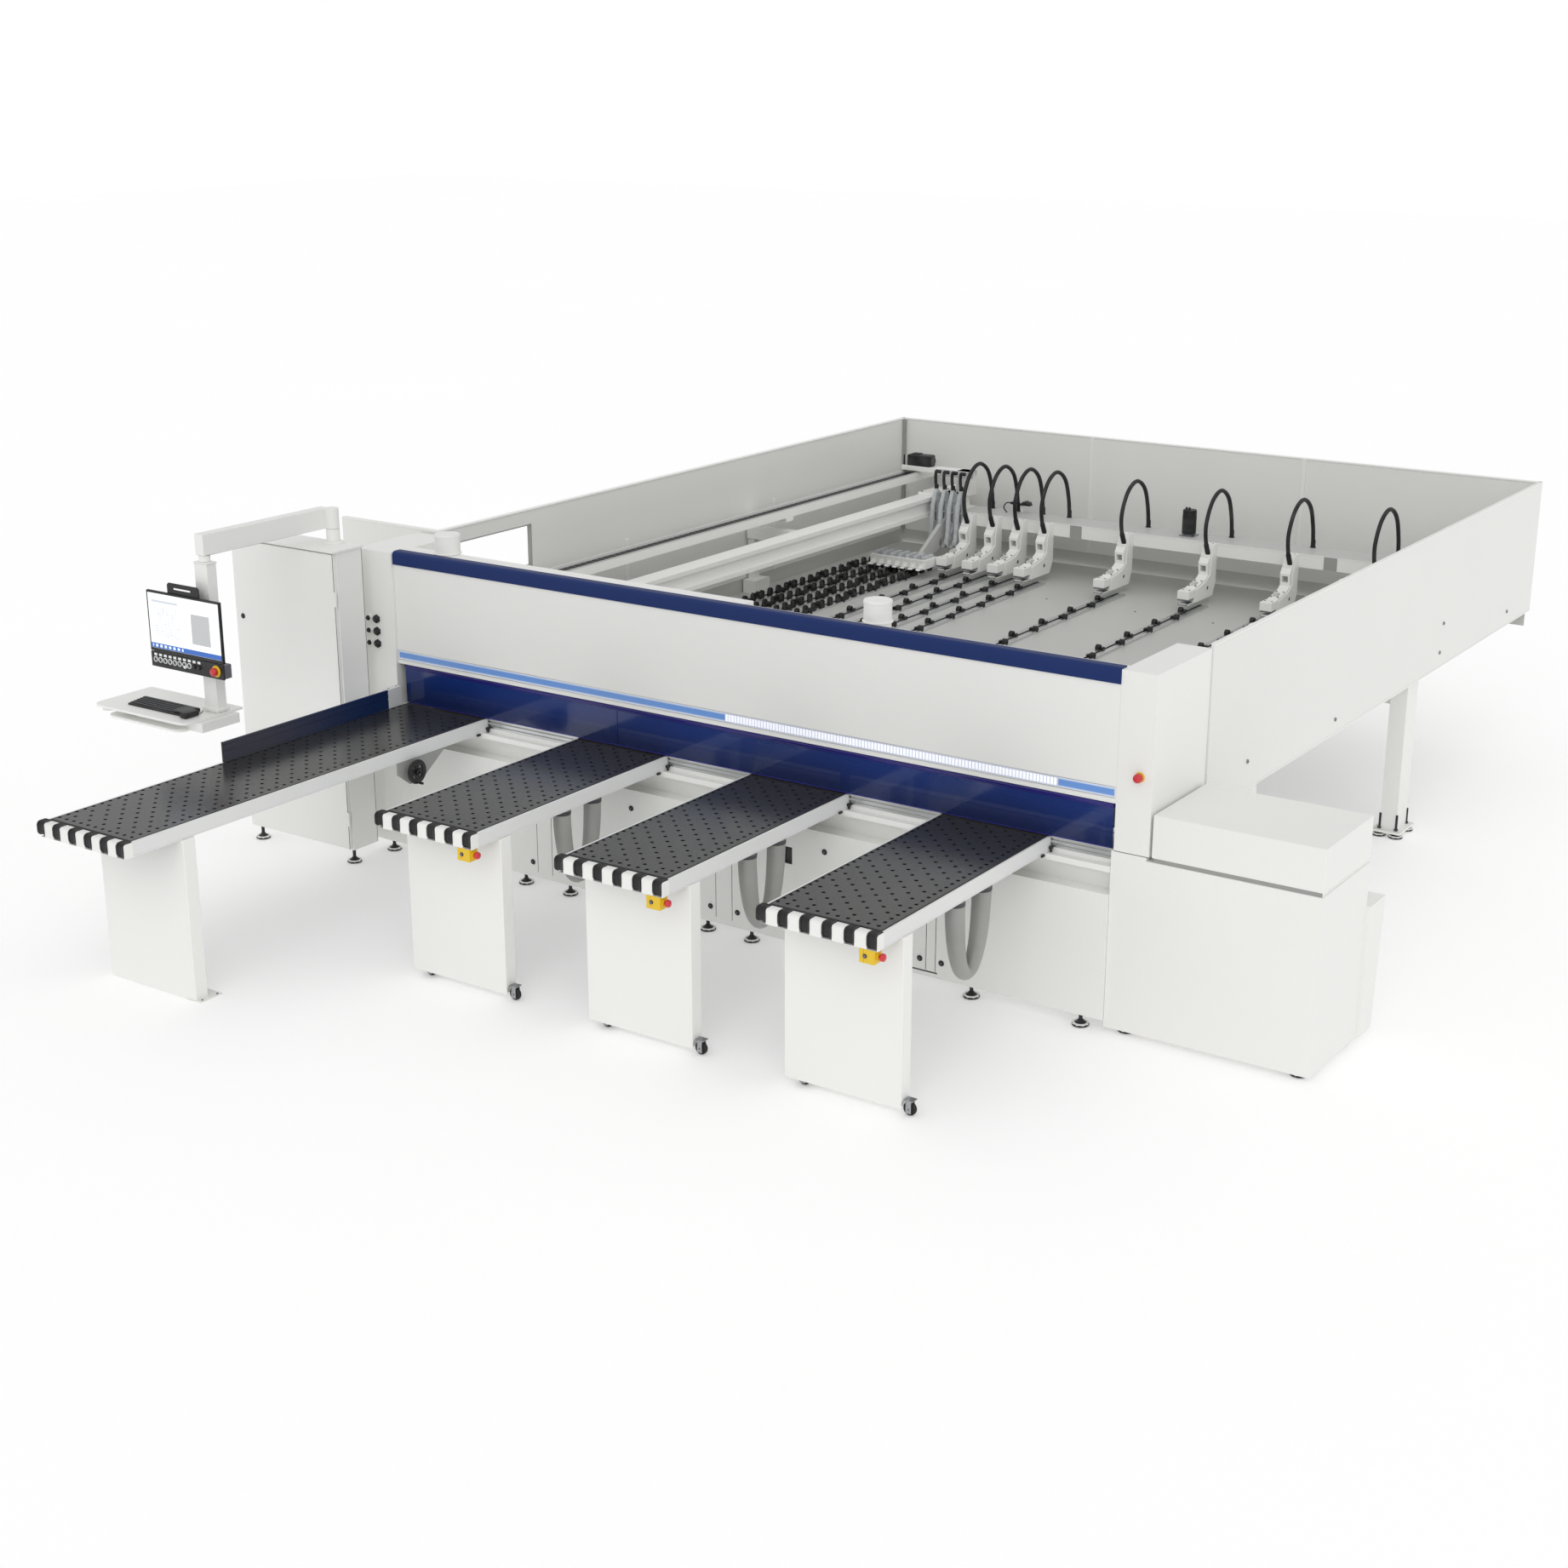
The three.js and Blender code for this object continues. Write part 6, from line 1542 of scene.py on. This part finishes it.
# %% Cabinet details
cabinet = [
    # Painted shade: a dark strip along the back edge of the cabinet's side.
    painted(block("painted back edge shade", (-191.5, -189.6), (-158, -154.6), (96, 1980), 0), dark_grey),
    painted(turned("post collar", "z", (-375, -200, 1995), [
        (42.3, 0), (66, 0), (66, 8), (56, 14), (44, 18), (42.3, 18), (42.3, 0)], 32), soft_white),
]
fitted(joined("cabinet_details", cabinet), "machine")
door = [carved(turned_front("door lock", -1013, -390, 1490, lock_outline, black),
               block("key", (-1014.6, -1011.4), (-410, -394), (1484, 1496), 0))]
door.append(painted(block("door seam", (-204, -201), (-390.8, -389.4), (100, 1975), 0), dark_grey))
door += [painted(bar("hinge", "z", (-197, -387, z), 8, 90, 16, 2), white) for z in (300, 1700)]
fitted(joined("door_details", door), "cabinet_door")


# %% Monitor
console_left, console_right = -842.5, -227.5
panel_height = 1436
panel_stop_x = -289.5


def monitor_piece():
    left, right, low, high = console_left, console_right, 1485, 1850
    shell = block("shell", (left, right), (-1276, -1256), (low, high), 4, 3)
    recess = block("recess", (left + 9, right - 9), (-1290, -1272), (low + 20, high - 12), 0)
    shell = painted(carved(shell, recess), black)
    start, end = at(left + 10, 0, low + 21), at(right - 10, 0, high - 13)
    page = painted(block("page", (left + 9, right - 9), (-1274, -1271), (low + 20, high - 12), 0),
                   screen_page(start.x, end.x, start.z, end.z))
    back = painted(block("back box", (left + 60, right - 60), (-1257, -1226),
                         (low + 40, high - 40), 5), dark_grey)
    wing = pushed("bracket", "y", [
        (-667, 1848), (-403, 1848), (-403, 1900), (-415, 1912), (-655, 1912), (-667, 1900)],
        -1266, -1258, 1)
    slot = block("slot", (-620, -470), (-1300, -1200), (1874, 1886), 0)
    foot_ = block("bracket foot", (-640, -430), (-1266, -1236), (1846, 1852), 1)
    bracket = [painted(carved(wing, slot), black), painted(foot_, black)]
    return joined("monitor_piece", [shell, page, back, *bracket])


fitted(monitor_piece(), "console", "monitor")


# %% Button panel
def panel_piece():
    left, right, middle = console_left, console_right, panel_height
    face = painted(block("face", (left, right), (-1276, -1266), (1390, 1482), 3, 2), black)
    box_ = painted(block("box", (left + 3, right - 1), (-1267, -1214), (1395, 1478), 3, 2),
                   side_grey)
    pieces = [face, box_]
    for i in range(10):
        x = left + 41 * (i + 1)
        label = block("label", (x - 12, x + 12), (-1277, -1275), (1458, 1473), 0.5, 1)
        pieces.append(painted(label, signal_white))
        if i < 8:
            ring = turned("ring", "y", (x, -1275.5, middle), [
                (12, 0), (17, 0), (17, -4), (15.5, -6), (13, -6), (12, -4), (12, 0)], 28)
            cap = turned("cap", "y", (x, -1275.5, middle), [
                (0.01, -3.5), (10, -3.5), (11.5, -2), (11.5, 0), (0.01, 0)], 24)
            pieces += [painted(ring, signal_white), painted(cap, dark_grey)]
        else:
            knob = turned("knob", "y", (x, -1275.5, middle), [
                (0.01, -10), (11, -10), (13, -8), (13, -2), (16, 0), (0.01, 0)], 24)
            pieces.append(painted(knob, black))
    lever = painted(bar("key knob", "y", (left + 41 * 7.4, -1285, middle - 9), 9, 20, 20, 3),
                    signal_white)
    ring = painted(turned("stop ring", "y", (panel_stop_x, -1275, middle), [
        (10, 0), (35, 0), (35, -3), (31, -7.5), (12, -7.5), (10, 0)], 36), stop_yellow)
    return joined("panel_piece", [*pieces, lever, ring])


fitted(panel_piece(), "console", "button_panel")
fitted(mushroom("panel_button", "y", (panel_stop_x, -1279, panel_height), 25, 32, stop_red, -1),
       "panel_stop", "panel_stop")


# %% Keyboard, mouse and tray
def keyboard_piece():
    base = painted(pushed("keyboard", "x", [
        (-1372, 1150.4), (-1232, 1150.4), (-1232, 1170), (-1238, 1174), (-1368, 1161),
        (-1372, 1158)], -975, -505, 2), black)
    keys = []
    for row in range(5):
        y, z = -1358 + 24 * row, 1161.5 + 2.4 * row
        keys.append(rowed(block("key", (-968, -950), (y, y + 18), (z, z + 5), 1.5, 1), 17, x=21.5))
    pad = block("pad", (-598, -512), (-1358, -1244), (1166, 1176), 2)
    pieces = [painted(piece, dark_grey) for piece in (*keys, pad)]
    mouse = block("mouse", (-500, -440), (-1402, -1290), (1150.4, 1184), 14, 4)
    gap = block("mouse gap", (-471, -469), (-1410, -1350), (1180, 1190), 0)
    mouse = painted(carved(mouse, gap), black)
    way = through([(-470, -1290, 1160), (-472, -1260, 1153), (-486, -1235, 1153),
                   (-500, -1215, 1154)], 5)
    cord = painted(hose("mouse cord", way, 2, 8), black)
    return joined("keyboard_piece", [base, *pieces, mouse, cord])


fitted(keyboard_piece(), "console", "keyboard")
dressed("console_column", white, 3)
tray = [
    painted(block("drawer", (-900, -340), (-1370, -1080), (1076, 1135), 4), soft_white),
    painted(block("collar", (-500, -370), (-1218, -1122), (1160, 1176), 3), soft_white),
    painted(block("column cap", (-492, -378), (-1210, -1130), (2037, 2047), 3), soft_white),
]
handle = through([(-1080, -1400, 1110), (-1120, -1425, 1108), (-1160, -1400, 1106),
                  (-1168, -1330, 1106), (-1160, -1200, 1108), (-1100, -1180, 1112)], 5)
tray.append(painted(hose("handle", handle, 7, 12), white))
fitted(joined("tray_details", tray), "console")
print("pieces:", len(made))
# %% [markdown]
# The photograph is a studio cut-out: a pale floor with soft shadows under the machine, broad
# light from above and in front, and a white surround. A white world seen only by the camera
# and through clear parts gives the surround; a dimmer one lights the scene.

# %% Floor
lone()
bpy.ops.mesh.primitive_plane_add(size=120, location=(0, 0, -0.002))
floor = settle(bpy.context.object, "floor")
floor_look = Finish("studio floor")
floor_cloud = floor_look.noise(0.25, 2.0)
painted(floor, floor_look.set(
    Base_Color=floor_look.mix(floor_cloud, tone("F7F7F7"), tone("FAFAFA")), Roughness=0.85,
    Emission_Color=floor_look.mix(floor_cloud, tone("FFFFFF"), tone("FDFDFD")),
    Emission_Strength=0.22,
))


# %% Lamp
lone()
bpy.ops.object.light_add(type="SUN", location=(5, -8, 7))
lamp = bpy.context.object
lamp.name = "broad lamp"
lamp.data.energy = 0.5
lamp.data.angle = math.radians(50)
lamp.rotation_euler = Vector((-5, 8, -7)).to_track_quat("-Z", "Y").to_euler()

# %% Surround
world = bpy.data.worlds.new("surround")
bpy.context.scene.world = world
world.use_nodes = True
tree = world.node_tree
tree.nodes.clear()
output = tree.nodes.new("ShaderNodeOutputWorld")
rays = tree.nodes.new("ShaderNodeLightPath")
seen = tree.nodes.new("ShaderNodeMath")
seen.operation = "MAXIMUM"
tree.links.new(rays.outputs["Is Camera Ray"], seen.inputs[0])
tree.links.new(rays.outputs["Is Transmission Ray"], seen.inputs[1])
grounds = []
for strength in (0.73, 1.0):
    ground = tree.nodes.new("ShaderNodeBackground")
    ground.inputs["Color"].default_value = (1, 1, 1, 1)
    ground.inputs["Strength"].default_value = strength
    grounds.append(ground)
blend = tree.nodes.new("ShaderNodeMixShader")
tree.links.new(seen.outputs[0], blend.inputs[0])
for place, ground in enumerate(grounds, 1):
    tree.links.new(ground.outputs[0], blend.inputs[place])
tree.links.new(blend.outputs[0], output.inputs[0])

# %% [markdown]
# The camera stands where the photograph was taken from: to the right of the machine and above
# it, with a lens a little longer than normal. Its place was fitted to the corners of the
# tables, the beam and the guards.

# %% Camera
yaw, pitch = math.radians(34.282), math.radians(17.867)
forward = Vector((
    -math.sin(yaw) * math.cos(pitch), math.cos(yaw) * math.cos(pitch), -math.sin(pitch),
))
bpy.ops.object.camera_add(location=at(9582.7, -9931.7, 4850.8))
camera = bpy.context.object
camera.rotation_euler = forward.to_track_quat("-Z", "Y").to_euler()
camera.data.lens = 52.21
camera.data.clip_end = 200
bpy.context.scene.camera = camera
bpy.context.scene.view_settings.view_transform = "Standard"
